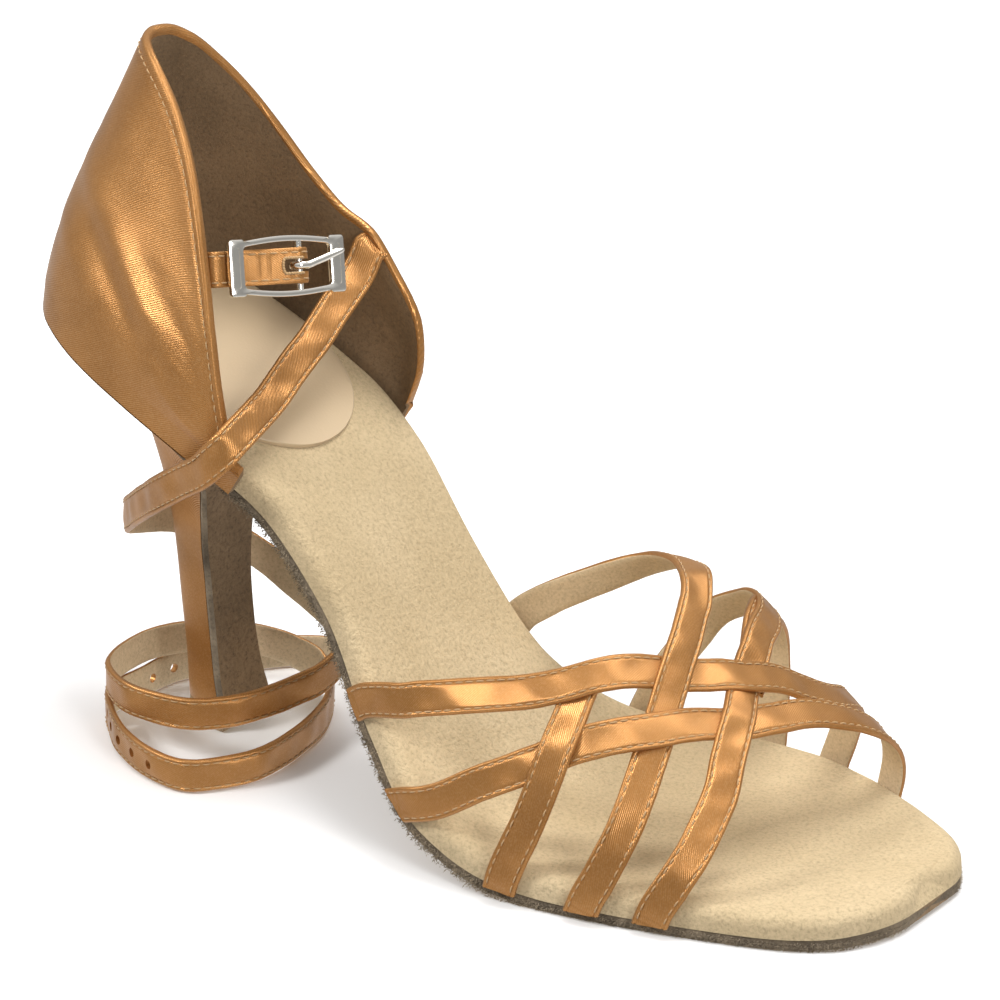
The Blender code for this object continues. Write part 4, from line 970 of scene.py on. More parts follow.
class Graph:
    """Adds nodes to a material and links them."""

    def __init__(self, made):
        self.tree = made.node_tree
        self.shader = self.tree.nodes["Principled BSDF"]
        self.coords = self.tree.nodes.new("ShaderNodeTexCoord")

    def add(self, kind, links=(), **values):
        made = self.tree.nodes.new(kind)
        for key, value in values.items():
            if hasattr(made, key):
                setattr(made, key, value)
            else:
                made.inputs[key.replace("_", " ").title()].default_value = value
        for socket, source in links:
            self.tree.links.new(source, made.inputs[socket])
        return made

    def noise(self, scale, detail=3.0, roughness=0.55):
        return self.add(
            "ShaderNodeTexNoise", [("Vector", self.coords.outputs["Object"])],
            scale=scale, detail=detail, roughness=roughness,
        ).outputs["Fac"]

    def bands(self, pitch, angle, distortion):
        """Fine lines a pitch apart, turned by an angle."""
        turned = self.add(
            "ShaderNodeMapping", [("Vector", self.coords.outputs["UV"])],
            rotation=(0, 0, math.radians(angle)),
        )
        return self.add(
            "ShaderNodeTexWave", [("Vector", turned.outputs["Vector"])],
            scale=2 * math.pi / 20 / pitch, distortion=distortion, detail=1.0,
        ).outputs["Fac"]

    def ramp(self, source, stops):
        made = self.add("ShaderNodeValToRGB", [("Fac", source)])
        ramp = made.color_ramp
        while len(ramp.elements) < len(stops):
            ramp.elements.new(0.5)
        for element, (place, colour) in zip(ramp.elements, stops):
            element.position = place
            element.color = (*colour, 1) if isinstance(colour, tuple) else (colour,) * 3 + (1,)
        return made.outputs["Color"]

    def mix(self, share, first, second):
        made = self.tree.nodes.new("ShaderNodeMix")
        made.data_type = "RGBA"
        for socket, value in ((0, share), (6, first), (7, second)):
            if hasattr(value, "is_linked"):
                self.tree.links.new(value, made.inputs[socket])
            elif isinstance(value, tuple):
                made.inputs[socket].default_value = (*value, 1)
            else:
                made.inputs[socket].default_value = value
        return made.outputs[2]

    def scaled(self, source, factor, add=0.0):
        made = self.add("ShaderNodeMath", [(0, source)], operation="MULTIPLY_ADD")
        made.inputs[1].default_value = factor
        made.inputs[2].default_value = add
        return made.outputs[0]

    def plus(self, first, second):
        return self.add("ShaderNodeMath", [(0, first), (1, second)], operation="ADD").outputs[0]

    def relief(self, height, distance, strength=1.0):
        made = self.add("ShaderNodeBump", [("Height", height)])
        made.inputs["Distance"].default_value = distance
        made.inputs["Strength"].default_value = strength
        self.tree.links.new(made.outputs["Normal"], self.shader.inputs["Normal"])

    def set(self, socket, source):
        self.tree.links.new(source, self.shader.inputs[socket])


def satin_material(name, twill_angle):
    made = material(name, SATIN_LIGHT, 0.34, metallic=0.62, sheen=0.06, sheen_tint=(0.95, 0.62, 0.32))
    made.node_tree.nodes["Principled BSDF"].inputs["Anisotropic"].default_value = 0.35
    graph = Graph(made)
    twill = graph.bands(TWILL_PITCH, twill_angle, 0.7)
    fine = graph.noise(2600, 2.0)
    patch = graph.noise(85, 3.0)
    tone = graph.mix(graph.ramp(patch, [(0.30, 0.0), (0.72, 1.0)]), SATIN_DEEP, SATIN_LIGHT)
    tone = graph.mix(graph.scaled(twill, 0.30), tone, shaded(SATIN_LIGHT, 0.45))
    glint = graph.scaled(graph.ramp(fine, [(0.45, 0.0), (0.75, 1.0)]), 0.14)
    tone = graph.mix(glint, tone, (0.92, 0.62, 0.32))
    graph.set("Base Color", tone)
    graph.set("Roughness", graph.scaled(graph.noise(160, 2.0), 0.12, 0.25))
    graph.relief(graph.plus(graph.scaled(twill, 0.8), graph.scaled(fine, 0.45)), 0.00006, 0.8)
    return made


def suede_material(name, dark, light, grain, depth, mottle, fleck=0.55):
    made = material(name, light, 0.93, sheen=0.35, sheen_tint=light)
    graph = Graph(made)
    nap = graph.noise(grain, 5.0, roughness=0.7)
    cloud = graph.noise(mottle, 4.0)
    tone = graph.mix(graph.ramp(cloud, [(0.28, 0.0), (0.74, 1.0)]), dark, light)
    spots = graph.ramp(nap, [(0.30, 1.0), (0.52, 0.0)])
    tone = graph.mix(graph.scaled(spots, fleck), tone, shaded(dark, 0.55))
    tip = graph.ramp(nap, [(0.56, 0.0), (0.80, 1.0)])
    tone = graph.mix(graph.scaled(tip, 0.40), tone, shaded(light, 1.35))
    graph.set("Base Color", tone)
    coarse = graph.scaled(graph.noise(grain / 4, 3.0), 0.8)
    graph.relief(graph.plus(graph.scaled(nap, 1.0), coarse), depth, 0.9)
    return made


def leather_material(name, colour):
    made = material(name, colour, 0.52, sheen=0.10)
    graph = Graph(made)
    pores = graph.add(
        "ShaderNodeTexVoronoi", [("Vector", graph.coords.outputs["Object"])], scale=1500,
    ).outputs["Distance"]
    cloud = graph.noise(60, 3.0)
    graph.set("Base Color", graph.mix(graph.scaled(cloud, 0.35), colour, shaded(colour, 0.86)))
    graph.set("Roughness", graph.scaled(cloud, 0.14, 0.44))
    graph.relief(pores, 0.00004, 0.5)
    return made


def thread_material(name, colour):
    made = material(name, colour, 0.55, sheen=0.3)
    graph = Graph(made)
    cloud = graph.scaled(graph.noise(900, 2.0), 0.5)
    graph.set("Base Color", graph.mix(cloud, colour, shaded(colour, 0.7)))
    graph.relief(graph.noise(5200, 2.0), 0.00005, 0.7)
    return made


def silver_material(name):
    made = material(name, (0.93, 0.89, 0.81), 0.12, metallic=1.0)
    graph = Graph(made)
    smear = graph.noise(420, 4.0)
    graph.set("Roughness", graph.scaled(smear, 0.16, 0.05))
    graph.relief(graph.noise(240, 3.0), 0.00005, 0.35)
    return made


satin = satin_material("satin", 52)
satin_counter = satin_material("satin_counter", 118)
# name, dark, light, grain, depth of the relief, mottle, strength of the dark flecks
lining = suede_material("lining", (0.56, 0.42, 0.25), (0.72, 0.57, 0.37), 1700, 0.00012, 40)
counter_lining = suede_material(
    "counter_lining", (0.155, 0.100, 0.052), (0.33, 0.215, 0.118), 1500, 0.00013, 30,
)
insole_suede = suede_material(
    "insole_suede", (0.52, 0.395, 0.225), (0.65, 0.51, 0.315), 1300, 0.00050, 26, 0.60,
)
sole_suede = suede_material(
    "sole_suede", (0.200, 0.132, 0.072), (0.40, 0.275, 0.160), 1100, 0.00030, 60, 0.8,
)
cut_edge = suede_material("cut_edge", (0.095, 0.072, 0.048), (0.27, 0.210, 0.140), 1500, 0.00018, 160)
loose_fibre = suede_material("loose_fibre", (0.16, 0.125, 0.085), (0.40, 0.32, 0.22), 1500, 0.00005, 260)
sock_leather = leather_material("sock_leather", (0.56, 0.425, 0.265))
thread = thread_material("thread", (0.47, 0.29, 0.125))
silver = silver_material("silver")


# The sole's pieces
def sole_rings(angles, layers, columns):
    """Rings across the sole: over the top from outer to inner, then down and back."""
    grids = [sole_grid(angles, grow, depth, columns) for grow, depth in layers]
    low = sole_grid(angles, *layers[-1], 8)
    inner = np.stack([grid[:, -1] for grid in grids[1:]], 1)
    outer = np.stack([grid[:, 0] for grid in grids[:0:-1]], 1)
    return np.concatenate([grids[0], inner, low[:, -2:0:-1], outer], 1)


# Dents trodden into the insole: station, length, place across, width, depth
TREADS = [(0.74, 0.09, 0.006, 0.024, 0.00035), (0.92, 0.04, 0.016, 0.012, 0.0002)]
INSOLE_WAVE = 0.00008


def insole():
    angles = np.linspace(0, math.pi, 260)
    turns = np.radians(np.linspace(0, 90, 9))
    layers = [(-INSOLE_ROUND * (1 - math.sin(a)), INSOLE_ROUND * (1 - math.cos(a))) for a in turns]
    layers.append((0.0, INSOLE_THICK))
    columns = 44
    rings = sole_rings(angles, layers, columns)
    station = (rings[:, : columns + 1, 0] + SEAT_BACK) / SOLE_LENGTH
    across = rings[:, : columns + 1, 1]
    tread = 0
    for at, long, side, wide, deep in TREADS:
        tread = tread + np.exp(-(((station - at) / long) ** 2) - ((across - side) / wide) ** 2) * deep
    wave = INSOLE_WAVE * wander(station * 0.2 + across * 0.7, 3, 0.021)
    fade = np.clip((1 - np.abs(np.linspace(-1, 1, columns + 1))) / 0.15, 0, 1)
    rings[:, : columns + 1, 2] -= (tread + wave) * fade
    piece = hull("insole_wrap", rings, [insole_suede], 0)
    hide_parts("insole")


def heel_sock():
    count, columns = 90, 30
    spread = (1 - np.cos(np.linspace(0, math.pi, count))) / 2
    angles = end_angle(SOCK_END * spread)
    grid = sole_grid(angles, -SOCK_INSET, 0, columns)
    station = (grid[:, :, 0] + SEAT_BACK) / SOLE_LENGTH
    middle = station.mean(axis=1)
    curve = np.clip((middle - SOCK_TURN) / (middle[-1] - SOCK_TURN), 0, 1)
    keep = np.clip(1 - curve**SOCK_POWER, SOCK_TIP, 1) ** (1 / SOCK_POWER)
    centre = grid[:, :, 1].mean(axis=1, keepdims=True)

    def layer(depth, shrink=0.0):
        half = (grid[:, :, 1] - centre) * keep[:, None]
        narrow = 1 - shrink / np.maximum(np.abs(half[:, -1:]), 0.001)
        return on_sole(station, centre + half * np.clip(narrow, 0.2, 1), depth)

    top, mid, low = layer(-GAP - SOCK_THICK, 0.0003), layer(-GAP - 0.7 * SOCK_THICK), layer(-0.00005)
    under = [low[:, -1:], low[:, -2:0:-3], low[:, :1]]
    rings = np.concatenate([top, mid[:, -1:], *under, mid[:, :1]], 1)
    piece = hull("heel_sock_leather", rings, [sock_leather], 0)
    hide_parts("heel_sock")


FRAY = 0.00035              # how far the cut edge stands out
RAGGED = 0.00022            # how much that varies along it
FIBRES_PER_METRE = 15000


def outsole():
    """Sole with its flap down the heel, with a slightly frayed cut edge."""
    toe_rows, flap_rows, columns = 190, 60, 28
    top_depth, low_depth = INSOLE_THICK + GAP * 0.4, INSOLE_THICK + GAP + OUTSOLE_THICK

    def rows(depth, station):
        return sole_grid(np.linspace(math.pi, end_angle(station), toe_rows), -OUTSOLE_INSET, depth, columns)

    def flap(shares, distance, width_shares):
        fronts = np.array([heel_layer(share, columns)[0] for share in shares])
        widths = np.array([heel_layer(share, columns)[0] for share in width_shares])
        sole_edge = rows(low_depth, BREAST_STATION)[-1, :, 1]
        wide = np.abs(widths[..., 1]) > np.abs(sole_edge)
        fronts[..., 1] = np.where(wide, sole_edge, widths[..., 1])
        slope = unit(np.gradient(fronts, axis=0))
        face = np.stack([-slope[..., 2], np.zeros(slope.shape[:2]), slope[..., 0]], -1)
        return fronts + face * distance

    stations = np.linspace(BREAST_STATION - 0.1, BREAST_STATION + 0.1, 200)
    line = on_sole(stations, 0.0, low_depth)
    tries = np.linspace(1.0, 0.6, 161)
    fronts = flap(tries, GAP + FLAP_THICK, tries)[:, columns // 2]
    above = fronts[:, 2] - np.interp(fronts[:, 0], line[:, 0], line[:, 2])
    corner = next(k for k in range(6, len(tries)) if above[k] < 0)
    corner_station = (fronts[corner][0] + SEAT_BACK) / SOLE_LENGTH
    joint_station = corner_station + low_depth * math.sin(FLAP_BEND) / -SOLE_LENGTH
    low_shares = np.linspace(tries[corner] - 0.008, 0.0, flap_rows)
    top_shares = np.linspace(0.985, 0.0, flap_rows)
    upper = np.concatenate([
        rows(top_depth, BREAST_STATION + 0.003), flap(top_shares, GAP * 0.4, low_shares),
    ])
    lower = np.concatenate([
        rows(low_depth, joint_station + 0.003), flap(low_shares, GAP + FLAP_THICK, low_shares),
    ])
    distance = distance_along(upper[:, columns // 2])
    ragged = RAGGED * wander(distance, 11, 0.0031, 5)
    inner_mid = upper[:, -1] * 0.5 + lower[:, -1] * 0.5
    outer_mid = upper[:, 0] * 0.5 + lower[:, 0] * 0.5
    inner_out = unit(upper[:, -1] - upper[:, -2])
    outer_out = unit(upper[:, 0] - upper[:, 1])
    inner_mid += inner_out * (FRAY + ragged)[:, None]
    outer_mid += outer_out * (FRAY + ragged[::-1])[:, None]
    rings = np.concatenate([upper, inner_mid[:, None], lower[:, ::-1], outer_mid[:, None]], 1)
    kinds = [0] * columns + [1, 1] + [0] * columns + [1, 1]
    piece = hull("outsole_suede", rings, [sole_suede, cut_edge], kinds)
    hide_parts("outsole")
    sole = slice(0, toe_rows - 14)
    edges = [(inner_mid, inner_out), (lower[:, -1], inner_out)]
    edges += [(outer_mid, outer_out), (lower[:, 0], outer_out)]
    made = fibres("outsole_fibres", [(line[sole], out[sole]) for line, out in edges], FIBRES_PER_METRE, 81)


# The heel's pieces
def section(grid):
    """The rim of a section in rows from its front to its back."""
    front = grid[0]
    return np.concatenate([front[1:-1], grid[:, -1][:-1], grid[:, 0][::-1]])


def heel():
    columns = 26
    rings = np.array([section(heel_layer(share, columns)) for share in np.linspace(1, 0, 110)])
    piece = hull("heel_cover", rings, [satin_counter], 0, smooth_angle=50)
    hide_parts("heel")


# The tip's layers: height, how far its sides draw in
TIP_LAYERS = [
    (TIP_THICK + GAP * 0.5, 0.0004), (TIP_THICK - 0.0001, 0.0), (0.0030, -0.00005), (0.0008, 0.0),
    (0.0003, 0.00015), (0.0, 0.0006),
]


def heel_tip():
    x, y = tip_grid(14)
    rings = []
    for height, shrink in TIP_LAYERS:
        scale = 1 - shrink / (TIP_WIDTH / 2)
        rings.append(section(np.stack([x * scale, y * scale, np.full_like(y, height)], -1)))
    piece = hull("heel_tip_suede", np.array(rings), [sole_suede], 0, smooth_angle=50)
    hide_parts("heel_tip")


# The counter's pieces
COUNTER_WAVE = 0.00010
COUNTER_GROOVE = 0.00016    # depth of the groove that its stitches lie in
GROOVE_HALF = 0.0005
RIM_ROUND = 0.42            # rise of the rolled rim in walls
SMOOTH_BAND = 0.06          # share of the height without folds at the foot and the edge


def counter():
    outer, inner = counter_layers()
    rows = len(outer)
    turns, _ = counter_surface()
    stations = np.sign(turns) * (1 - np.cos(turns)) / 2
    out = unit(outer - inner)
    level = np.linspace(0, 1, outer.shape[1] - 1)[None, :]
    place = stations[:, None]
    bump = np.zeros((rows, outer.shape[1] - 1))
    for at, height, tilt, length, wide, tall in CREASES:
        line = height + tilt * ((place - at) / length)
        bump += tall * bell(place, at, length) * bell(level, line, wide)
    bump += COUNTER_WAVE * wander(place * 0.2 + level * 0.05, 21, 0.034) * np.sin(math.pi * level)
    fade = np.clip(level / SMOOTH_BAND, 0, 1) * np.clip((1 - level) / SMOOTH_BAND, 0, 1)
    edge_in = (1 - level) * np.linalg.norm(outer[:, -1] - outer[:, 1], axis=1)[:, None]
    groove = -COUNTER_GROOVE * bell(edge_in, EDGE_STITCH, GROOVE_HALF)
    outer[:, 1:] += out[:, 1:] * (bump * fade + groove)[..., None]
    rim_out, rim_in = outer[:, -1], inner[:, -1]
    up = unit(outer[:, -1] - outer[:, -3])
    rim = []
    for turn in np.radians([30, 60, 90, 120, 150]):
        middle, half = (rim_out + rim_in) / 2, (rim_out - rim_in) / 2
        rim.append(middle + half * math.cos(turn) + up * (math.sin(turn) * COUNTER_WALL * RIM_ROUND))
    kinds = [0] * (outer.shape[1] + len(rim) + 1) + [1] * (inner.shape[1] - 1)
    rings = np.concatenate([outer, np.stack(rim, 1), inner[:, ::-1]], 1)
    back = rows // 2
    along_u = np.cumsum(np.linalg.norm(np.diff(rings, axis=0, prepend=rings[:1]), axis=2), axis=0)
    closed = np.concatenate([rings, rings[:, :1]], axis=1)
    along_v = np.cumsum(np.linalg.norm(np.diff(closed, axis=1, prepend=closed[:, :1]), axis=2), axis=1)
    piece = hull(
        "counter_shell", rings, [satin_counter, counter_lining], kinds, u=along_u - along_u[back],
        v=along_v, smooth_angle=60,
    )
    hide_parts("counter")
    share = 1 - EDGE_STITCH / np.linalg.norm(outer[:, -1] - outer[:, 1], axis=1)
    lane, face = [], []
    levels = np.linspace(0, 1, outer.shape[1] - 1)
    for row in range(3, rows - 3):
        if share[row] > 0.5:
            lane.append([np.interp(share[row], levels, outer[row, 1:, k]) for k in range(3)])
            face.append(out[row, -2])
    lane, face = np.array(lane), np.array(face)
    piece = stitches("counter_edge_stitches", [(lane, face)])


# The straps' pieces
VAMP_ROWS = 300
WEAVE_BLEND = 13            # rows that the lift is averaged over


def vamp_path(rows, count):
    """A strap's middle line, its crossings parted a little more than in the solids."""
    route = flowing(rows, count)
    station, share, lift = route.T
    faces = instep_face(station, share)
    padded = np.pad(lift, WEAVE_BLEND // 2, mode="edge")
    weave = np.convolve(padded, np.ones(WEAVE_BLEND) / WEAVE_BLEND, mode="valid")
    points = instep_point(station, share) + faces * (weave * WEAVE_LIFT * STRAP_THICK)[:, None]
    if rows[0][1] == 0:
        tail, tail_faces = strap_tail(points[0], points[1], 0.0, faces[0])
        points = np.concatenate([tail[::-1], points])
        faces = np.concatenate([tail_faces[::-1], faces])
    if rows[-1][1] == 1:
        tail, tail_faces = strap_tail(points[-1], points[-2], 1.0, faces[-1])
        points = np.concatenate([points, tail])
        faces = np.concatenate([faces, tail_faces])
    return points, faces


def vamp():
    lanes = []
    for number, (name, rows) in enumerate(VAMP_STRAPS.items()):
        points, face = vamp_path(rows, VAMP_ROWS)
        piece, lane = ribbon("strap_" + name, points, face, 31 + number, on_vamp=True)
        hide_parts("vamp_straps")
        lanes += strap_lanes(lane, on_vamp=True)
    piece = stitches("strap_stitches", lanes)


def ankle_strap():
    route, lean = ankle_route()
    wall, _, normal = inside_quarter(1, *ANKLE_STRAP_START)
    sewn = wall - normal * COUNTER_WALL * 0.4
    route = np.concatenate([np.linspace(sewn, route[0], 9)[:-1], route])
    lean = np.concatenate([np.full(8, float(ANKLE_START_LEAN)), lean])
    face = -leaning_faces(route, lean)
    piece, lane = ribbon("ankle_strap_satin", route, face, 61, ripple=1.3)
    cut = placed("strap_holes", hole_cutter(route, face))
    combine(piece, cut, "DIFFERENCE")
    apply_changes(piece, cut)
    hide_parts("ankle_strap")
    made = stitches("ankle_strap_stitches", strap_lanes(lane, start=0.003))


def combine(piece, other, operation):
    change = piece.modifiers.new(other.name, "BOOLEAN")
    change.operation = operation
    change.object = other
    change.solver = "EXACT"


def apply_changes(piece, *tools):
    """Turns a piece's modifiers into its mesh and removes the tools."""
    bpy.context.view_layer.update()
    seen = piece.evaluated_get(bpy.context.evaluated_depsgraph_get())
    mesh = bpy.data.meshes.new_from_object(seen)
    piece.modifiers.clear()
    piece.data = mesh
    for other in tools:
        bpy.data.objects.remove(other)


# The buckle and its strap
FOLD_THICK = 0.0009
FOLD_STITCH = 0.74          # places of its stitches and of its rounded edges in half widths
FOLD_EDGE = 0.86
FOLD_EDGE_WIDTH = 0.16
FOLD_GROOVE = 0.22          # share of the thickness
FOLD_GROOVE_WIDTH = 0.06
FOLD_SWELL = 0.00010
FOLD_ROWS = 260
FOLD_PLACES = [-1, -0.97, -0.9, -0.8, -0.74, -0.68, -0.5, -0.36, -0.2, 0.0]
FRAME_CORNER = 0.0007
FRAME_POINTS = 200
FRAME_ANGLE = 32            # degrees between faces that stay sharp
FRAME_SOFT = 0.00028        # how far the frame's edges are rounded
# Way of the strap round the centre bar, in the buckle's own axes: millimetres along and
# out of the frame
FOLD_WAY = [
    (-18.0, -1.80), (-15.0, -1.80), (-12.3, -1.75), (-9.8, -1.35), (-7.4, -0.55), (-5.0, 0.30),
    (-2.8, 0.95), (-1.2, 1.22), (0.0, 1.28), (0.95, 0.88), (1.30, 0.0), (0.95, -0.88),
    (0.0, -1.28), (-1.4, -1.22), (-3.2, -0.95), (-5.2, -0.90), (-7.4, -1.75),
]


def buckle_strap(matrix):
    """The strap that holds the buckle, folded round its centre bar, with a slit for the prong."""
    points = []
    for row in BUCKLE_STRAP_START:
        wall, width, normal = inside_quarter(-1, *row)
        points.append([*(wall + normal * (GAP + STRAP_THICK / 2)), *width])
    bars = np.array(matrix.col[1][:3])
    for along, out in FOLD_WAY:
        points.append([*(matrix @ Vector((along / 1000, 0, out / 1000))), *bars])
    route = flowing(points, FOLD_ROWS)
    middle, width = route[:, :3], unit(route[:, 3:6])
    ahead = unit(np.gradient(middle, axis=0))
    face = -unit(np.cross(width, ahead))
    width = np.cross(ahead, face)
    local = np.array([matrix.inverted() @ Vector(point) for point in middle])
    distance = distance_along(middle)
    half = STRAP_WIDTH / 2
    across = np.array(FOLD_PLACES)
    across = np.concatenate([across, -across[:-1][::-1]])
    turned = ((np.abs(across) - FOLD_EDGE) / FOLD_EDGE_WIDTH).clip(0, 1)
    rounding = np.sqrt(np.clip(1 - turned**2, 0.05, 1))
    groove = 1 - FOLD_GROOVE * bell(np.abs(across), FOLD_STITCH, FOLD_GROOVE_WIDTH)
    swell = FOLD_SWELL * wander(distance, 71, 0.006)[:, None] * (1 - np.abs(across)) ** 0.5
    places = (across * half)[None, :]
    front = swept(middle, width, face, places, FOLD_THICK / 2 * rounding * groove + swell)
    rear = swept(middle, width, face, places, -(FOLD_THICK / 2 * rounding)[None, :])
    slit = local[:, 0] > -SLOT_BACK
    solid = np.ones((len(middle) - 1, len(across) - 1), bool)
    narrow = (np.abs((across[1:] + across[:-1]) / 2) * half) < SLOT_WIDTH / 2
    solid[np.ix_(slit[1:], narrow)] = False
    piece = sheet("buckle_strap_satin", front, rear, solid, distance, across * half, [satin, lining])
    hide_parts("buckle_strap")
    reach = np.argmax(slit)
    lanes = []
    for side in (-FOLD_STITCH, FOLD_STITCH):
        line = middle + width * side * half + face * FOLD_THICK * 0.42
        lanes.append((line[4 : reach + 40], face[4 : reach + 40]))
    made = stitches("buckle_strap_stitches", lanes)
    rim = []
    for turn in np.linspace(-math.pi / 2, math.pi / 2, 15):
        rim.append((-SLOT_BACK - 0.0005 * math.cos(turn), SLOT_WIDTH / 2 * 1.25 * math.sin(turn)))
    ends = [(-SLOT_BACK + step, rim[-1][1]) for step in np.linspace(0.0004, SLOT_BACK, 8)]
    path = [(x, -y) for x, y in ends[::-1]] + rim + ends
    front_layer = slice(0, int(np.argmax(local[:, 0] > 0)) + 1)
    rise = np.interp([x for x, _ in path], local[front_layer, 0], local[front_layer, 2])
    loop = np.array([matrix @ Vector((x, y, z + FOLD_THICK * 0.55)) for (x, y), z in zip(path, rise)])
    outs = np.broadcast_to(np.array(matrix.col[2][:3]), loop.shape)
    made = stitches("slit_stitches", [(loop, outs)], pitch=0.00055, length=0.00060, wide=0.0006)


def sheet(name, front, rear, solid, u, v, materials):
    """A thick sheet of cells, closed round its edge and round each gap."""
    rows, columns = solid.shape
    build = bmesh.new()
    uv = build.loops.layers.uv.new("UVMap")
    made = {}

    def corner(side, r, c):
        key = (side, r, c)
        if key not in made:
            made[key] = build.verts.new((front, rear)[side][r, c])
        return made[key]

    def face(keys, kind):
        built = build.faces.new([corner(*key) for key in keys])
        built.material_index = kind
        for loop, (_, r, c) in zip(built.loops, keys):
            loop[uv].uv = (u[r], v[c])

    for r in range(rows):
        for c in range(columns):
            if not solid[r, c]:
                continue
            ring = [(r, c), (r, c + 1), (r + 1, c + 1), (r + 1, c)]
            face([(0, *at) for at in ring], 0)
            face([(1, *at) for at in ring[::-1]], 1)
            beyond = [(r - 1, c), (r, c + 1), (r + 1, c), (r, c - 1)]
            for k, (i, j) in enumerate(beyond):
                if not (0 <= i < rows and 0 <= j < columns and solid[i, j]):
                    a, b = ring[k], ring[(k + 1) % 4]
                    face([(0, *b), (0, *a), (1, *a), (1, *b)], 0)
    mesh = bpy.data.meshes.new(name)
    build.to_mesh(mesh)
    build.free()
    for look in materials:
        mesh.materials.append(look)
    return settle(name, mesh, "root", 50)


def from_bmesh(name, build):
    mesh = bpy.data.meshes.new(name)
    bmesh.ops.recalc_face_normals(build, faces=build.faces)
    build.to_mesh(mesh)
    build.free()
    return mesh


def rod(name, diameter, length, matrix, sides):
    """A round rod along the buckle's bars."""
    build = bmesh.new()
    turn = Matrix.Rotation(math.pi / 2, 4, "X")
    bmesh.ops.create_cone(
        build, cap_ends=True, segments=sides, radius1=diameter / 2, radius2=diameter / 2,
        depth=length, matrix=matrix @ turn,
    )
    return from_bmesh(name, build)


def rounded_path(corners, radius, steps):
    """A closed outline with round corners."""
    path = []
    count = len(corners)
    for k in range(count):
        before, at, after = (np.array(corners[(k + i) % count], float) for i in (-1, 0, 1))
        towards, away = unit(before - at), unit(after - at)
        room = min(radius, np.linalg.norm(before - at) / 2, np.linalg.norm(after - at) / 2)
        start, end = at + towards * room, at + away * room
        for s in np.linspace(0, 1, steps):
            path.append((1 - s) ** 2 * start + 2 * s * (1 - s) * at + s**2 * end)
    return path


def even_path(path, count):
    """The closed path with evenly spread points."""
    closed = np.array(path + [path[0]])
    along = distance_along(closed)
    at = np.linspace(0, along[-1], count, endpoint=False)
    return points_at(at, along, closed)


def buckle(matrix):
    back, front = -BUCKLE_BACK, BUCKLE_FRONT
    half, bar = BUCKLE_HEIGHT / 2, BAR_WIDTH / 2
    rail = half - BAR_EAR

    def bowed(path):
        found = []
        for x, y in path:
            share = np.clip((x - back - bar) / (front - back - 2 * bar), 0, 1)
            found.append((x, y + math.copysign(RAIL_ARCH * math.sin(math.pi * share), y)))
        return found

    def spread(corners):
        """Adds places along the rails so that they can arch."""
        full = []
        for a, b in zip(corners, corners[1:] + corners[:1]):
            full.append(a)
            if abs(b[0] - a[0]) > 0.004:
                full += [(a[0] + (b[0] - a[0]) * s, a[1]) for s in np.linspace(0.1, 0.9, 9)]
        return full

    edge_side = [(back - bar, -half), (back + bar, -half), (back + bar, -rail)]
    edge_side += [(front - bar, -rail), (front - bar, -half), (front + bar, -half)]
    outer = edge_side + [(x, -y) for x, y in reversed(edge_side)]
    hole = rail - RAIL_WIDTH
    inner = [(back + bar, -hole), (front - bar, -hole), (front - bar, hole), (back + bar, hole)]
    build = bmesh.new()
    deep, soft = FRAME_THICK / 2, FRAME_SOFT
    bevel = [(-deep, soft), (-deep + soft * 0.3, soft * 0.3), (-deep + soft, 0)]
    bevel += [(-z, inset) for z, inset in bevel[::-1]]
    stack = []
    for corners, sign in ((outer, 1), (inner, -1)):
        path = even_path(bowed(rounded_path(spread(corners), FRAME_CORNER, 5)), FRAME_POINTS)
        for z, inset in bevel:
            ring = []
            for k, (x, y) in enumerate(path):
                ahead = unit(path[(k + 1) % len(path)] - path[k - 1])
                normal = np.array([ahead[1], -ahead[0]])
                px, py = np.array([x, y]) - normal * inset * sign
                ring.append(build.verts.new(matrix @ Vector((px, py, z))))
            stack.append(ring)
    order = stack[:6] + stack[6:][::-1]
    for a, b in zip(order, order[1:] + order[:1]):
        for k in range(FRAME_POINTS):
            j = (k + 1) % FRAME_POINTS
            build.faces.new([a[k], a[j], b[j], b[k]])
    mesh = from_bmesh("buckle_frame_silver", build)
    mesh.materials.append(silver)
    frame_piece = settle("buckle_frame_silver", mesh, "buckle_frame", FRAME_ANGLE)
    pin = placed("centre_bar", rod("centre_bar", PIN_DIAMETER, BUCKLE_HEIGHT - RAIL_WIDTH, matrix, 28))
    combine(frame_piece, pin, "UNION")
    for side in (back, front):
        panel = panel_cutter(matrix, side)
        combine(frame_piece, panel, "DIFFERENCE")
        apply_changes(frame_piece, panel)
    bpy.data.objects.remove(pin)
    frame_piece.data.shade_smooth()
    frame_piece.data.set_sharp_from_angle(angle=math.radians(FRAME_ANGLE))
    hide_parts("buckle_frame")
    prong(matrix)


PANEL_DEPTH = 0.00016
PANEL_WIDTH = 0.42 * BAR_WIDTH
PANEL_HEIGHT = 0.72 * BUCKLE_HEIGHT


def panel_cutter(matrix, place):
    """A shallow long recess in a bar."""
    build = bmesh.new()
    size = (PANEL_WIDTH, PANEL_HEIGHT, PANEL_DEPTH * 2, 1)
    at = matrix @ Matrix.Translation((place, 0, FRAME_THICK / 2)) @ Matrix.Diagonal(size)
    bmesh.ops.create_cube(build, size=1.0, matrix=at)
    edges = [e for e in build.edges if abs(e.calc_length() - PANEL_DEPTH * 2) < 1e-6]
    bmesh.ops.bevel(build, geom=edges, offset=PANEL_WIDTH * 0.45, segments=5, affect="EDGES", profile=0.5)
    return placed("panel", from_bmesh("panel", build))


PRONG_REACH = 0.34          # how far its tip lies past the middle of its bar, in bar widths
HOOK_TURNS = np.arange(-15, -271, -8)   # degrees round the centre bar
PRONG_TAPER = 0.004         # length of its narrowing end


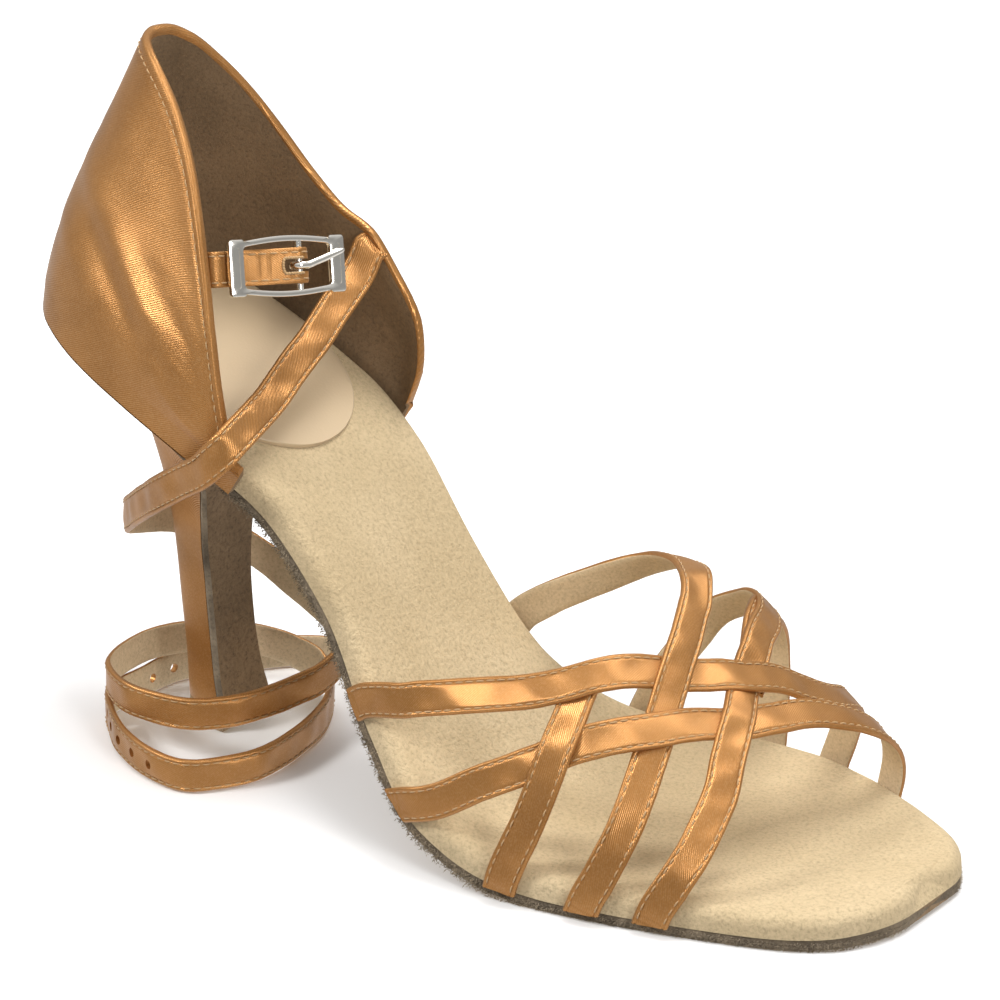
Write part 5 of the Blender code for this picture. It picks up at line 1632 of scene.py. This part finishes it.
def prong(matrix):
    """A round tongue that hooks round the centre bar and lies on the front bar."""
    radius = PIN_DIAMETER / 2 + GAP + PRONG_THICK / 2
    turns = np.radians(HOOK_TURNS)
    places = [(radius * math.cos(turn), 0, radius * math.sin(turn)) for turn in turns]
    tongue = BUCKLE_FRONT + PRONG_REACH * BAR_WIDTH
    for share in np.linspace(0.10, 1.0, 24):
        skew = max(share - TONGUE_STRAIGHT, 0) / (1 - TONGUE_STRAIGHT) * PRONG_SKEW
        places.append((share * tongue, skew, radius))
    points = np.array([matrix @ Vector(place) for place in places])
    bars = np.array(matrix.col[1][:3])
    ahead = unit(np.gradient(points, axis=0))
    out = unit(np.cross(ahead, bars))
    distance = distance_along(points)
    share = np.clip((distance - distance[-1] + PRONG_TAPER) / PRONG_TAPER, 0, 1)
    wide = (PRONG_WIDTH / 2) * (1 - 0.35 * share)
    deep = (PRONG_THICK / 2) * (1 - 0.30 * share)
    wide[-1] *= 0.6
    deep[-1] *= 0.6
    wide[0] *= 0.8
    turns = np.linspace(0, 2 * math.pi, 20, endpoint=False)
    rings = swept(points, bars[None, :], out, np.cos(turns) * wide[:, None], np.sin(turns) * deep[:, None])
    piece = hull("buckle_prong_silver", rings, [silver], 0, "buckle_prong", smooth_angle=50)
    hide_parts("buckle_prong")


# The stage
def stage():
    build = bmesh.new()
    bmesh.ops.create_grid(build, x_segments=1, y_segments=1, size=FLOOR_SIZE)
    mesh = from_bmesh("floor", build)
    floor = placed("floor", mesh)
    mesh.materials.append(material("floor_white", (0.93, 0.93, 0.93), 0.55))
    if mesh.polygons[0].normal.z < 0:
        mesh.flip_normals()
    floor.visible_diffuse = False
    floor.visible_glossy = False
    world = bpy.data.worlds.new("studio")
    world.use_nodes = True
    tree = world.node_tree
    coords = tree.nodes.new("ShaderNodeTexCoord")
    parts = tree.nodes.new("ShaderNodeSeparateXYZ")
    height = tree.nodes.new("ShaderNodeMapRange")
    height.inputs["From Min"].default_value = -1.0
    tree.links.new(coords.outputs["Generated"], parts.inputs["Vector"])
    tree.links.new(parts.outputs["Z"], height.inputs["Value"])
    sky = tree.nodes.new("ShaderNodeValToRGB")
    stops = sky.color_ramp.elements
    for k, (at, light) in enumerate(SKY):
        stop = stops[0] if k == 0 else stops.new(at)
        stop.position, stop.color = at, (light, light, light, 1)
    stops.remove(stops[-1])
    tree.links.new(height.outputs["Result"], sky.inputs["Fac"])
    tree.links.new(sky.outputs["Color"], tree.nodes["Background"].inputs["Color"])
    bpy.context.scene.world = world
    bpy.context.scene.view_settings.view_transform = "Standard"
    for name, place, size, power in LIGHTS:
        data = bpy.data.lights.new(name, "AREA")
        data.shape = "RECTANGLE"
        data.size, data.size_y = size
        data.energy = power
        lamp = placed(name, data)
        lamp.location = place
        lamp.rotation_euler = (Vector(LIGHT_TARGET) - Vector(place)).to_track_quat("-Z", "Y").to_euler()


def camera():
    turn, rise = math.radians(CAMERA_TURN), math.radians(CAMERA_RISE)
    back = Vector((math.sin(turn) * math.cos(rise), -math.cos(turn) * math.cos(rise), math.sin(rise)))
    right = Vector((math.cos(turn), math.sin(turn), 0))
    up = back.cross(right)
    data = bpy.data.cameras.new("camera")
    data.lens, data.sensor_width = CAMERA_LENS, 36.0
    data.clip_start = 0.01
    view = placed("camera", data)
    view.matrix_world = Matrix((right, up, back)).transposed().to_4x4()
    view.location = CAMERA_PLACE
    bpy.context.scene.camera = view


stage()
camera()
insole()
heel_sock()
outsole()
heel()
heel_tip()
counter()
vamp()
ankle_strap()
buckle_axes = buckle_frame()
buckle_strap(buckle_axes)
buckle(buckle_axes)
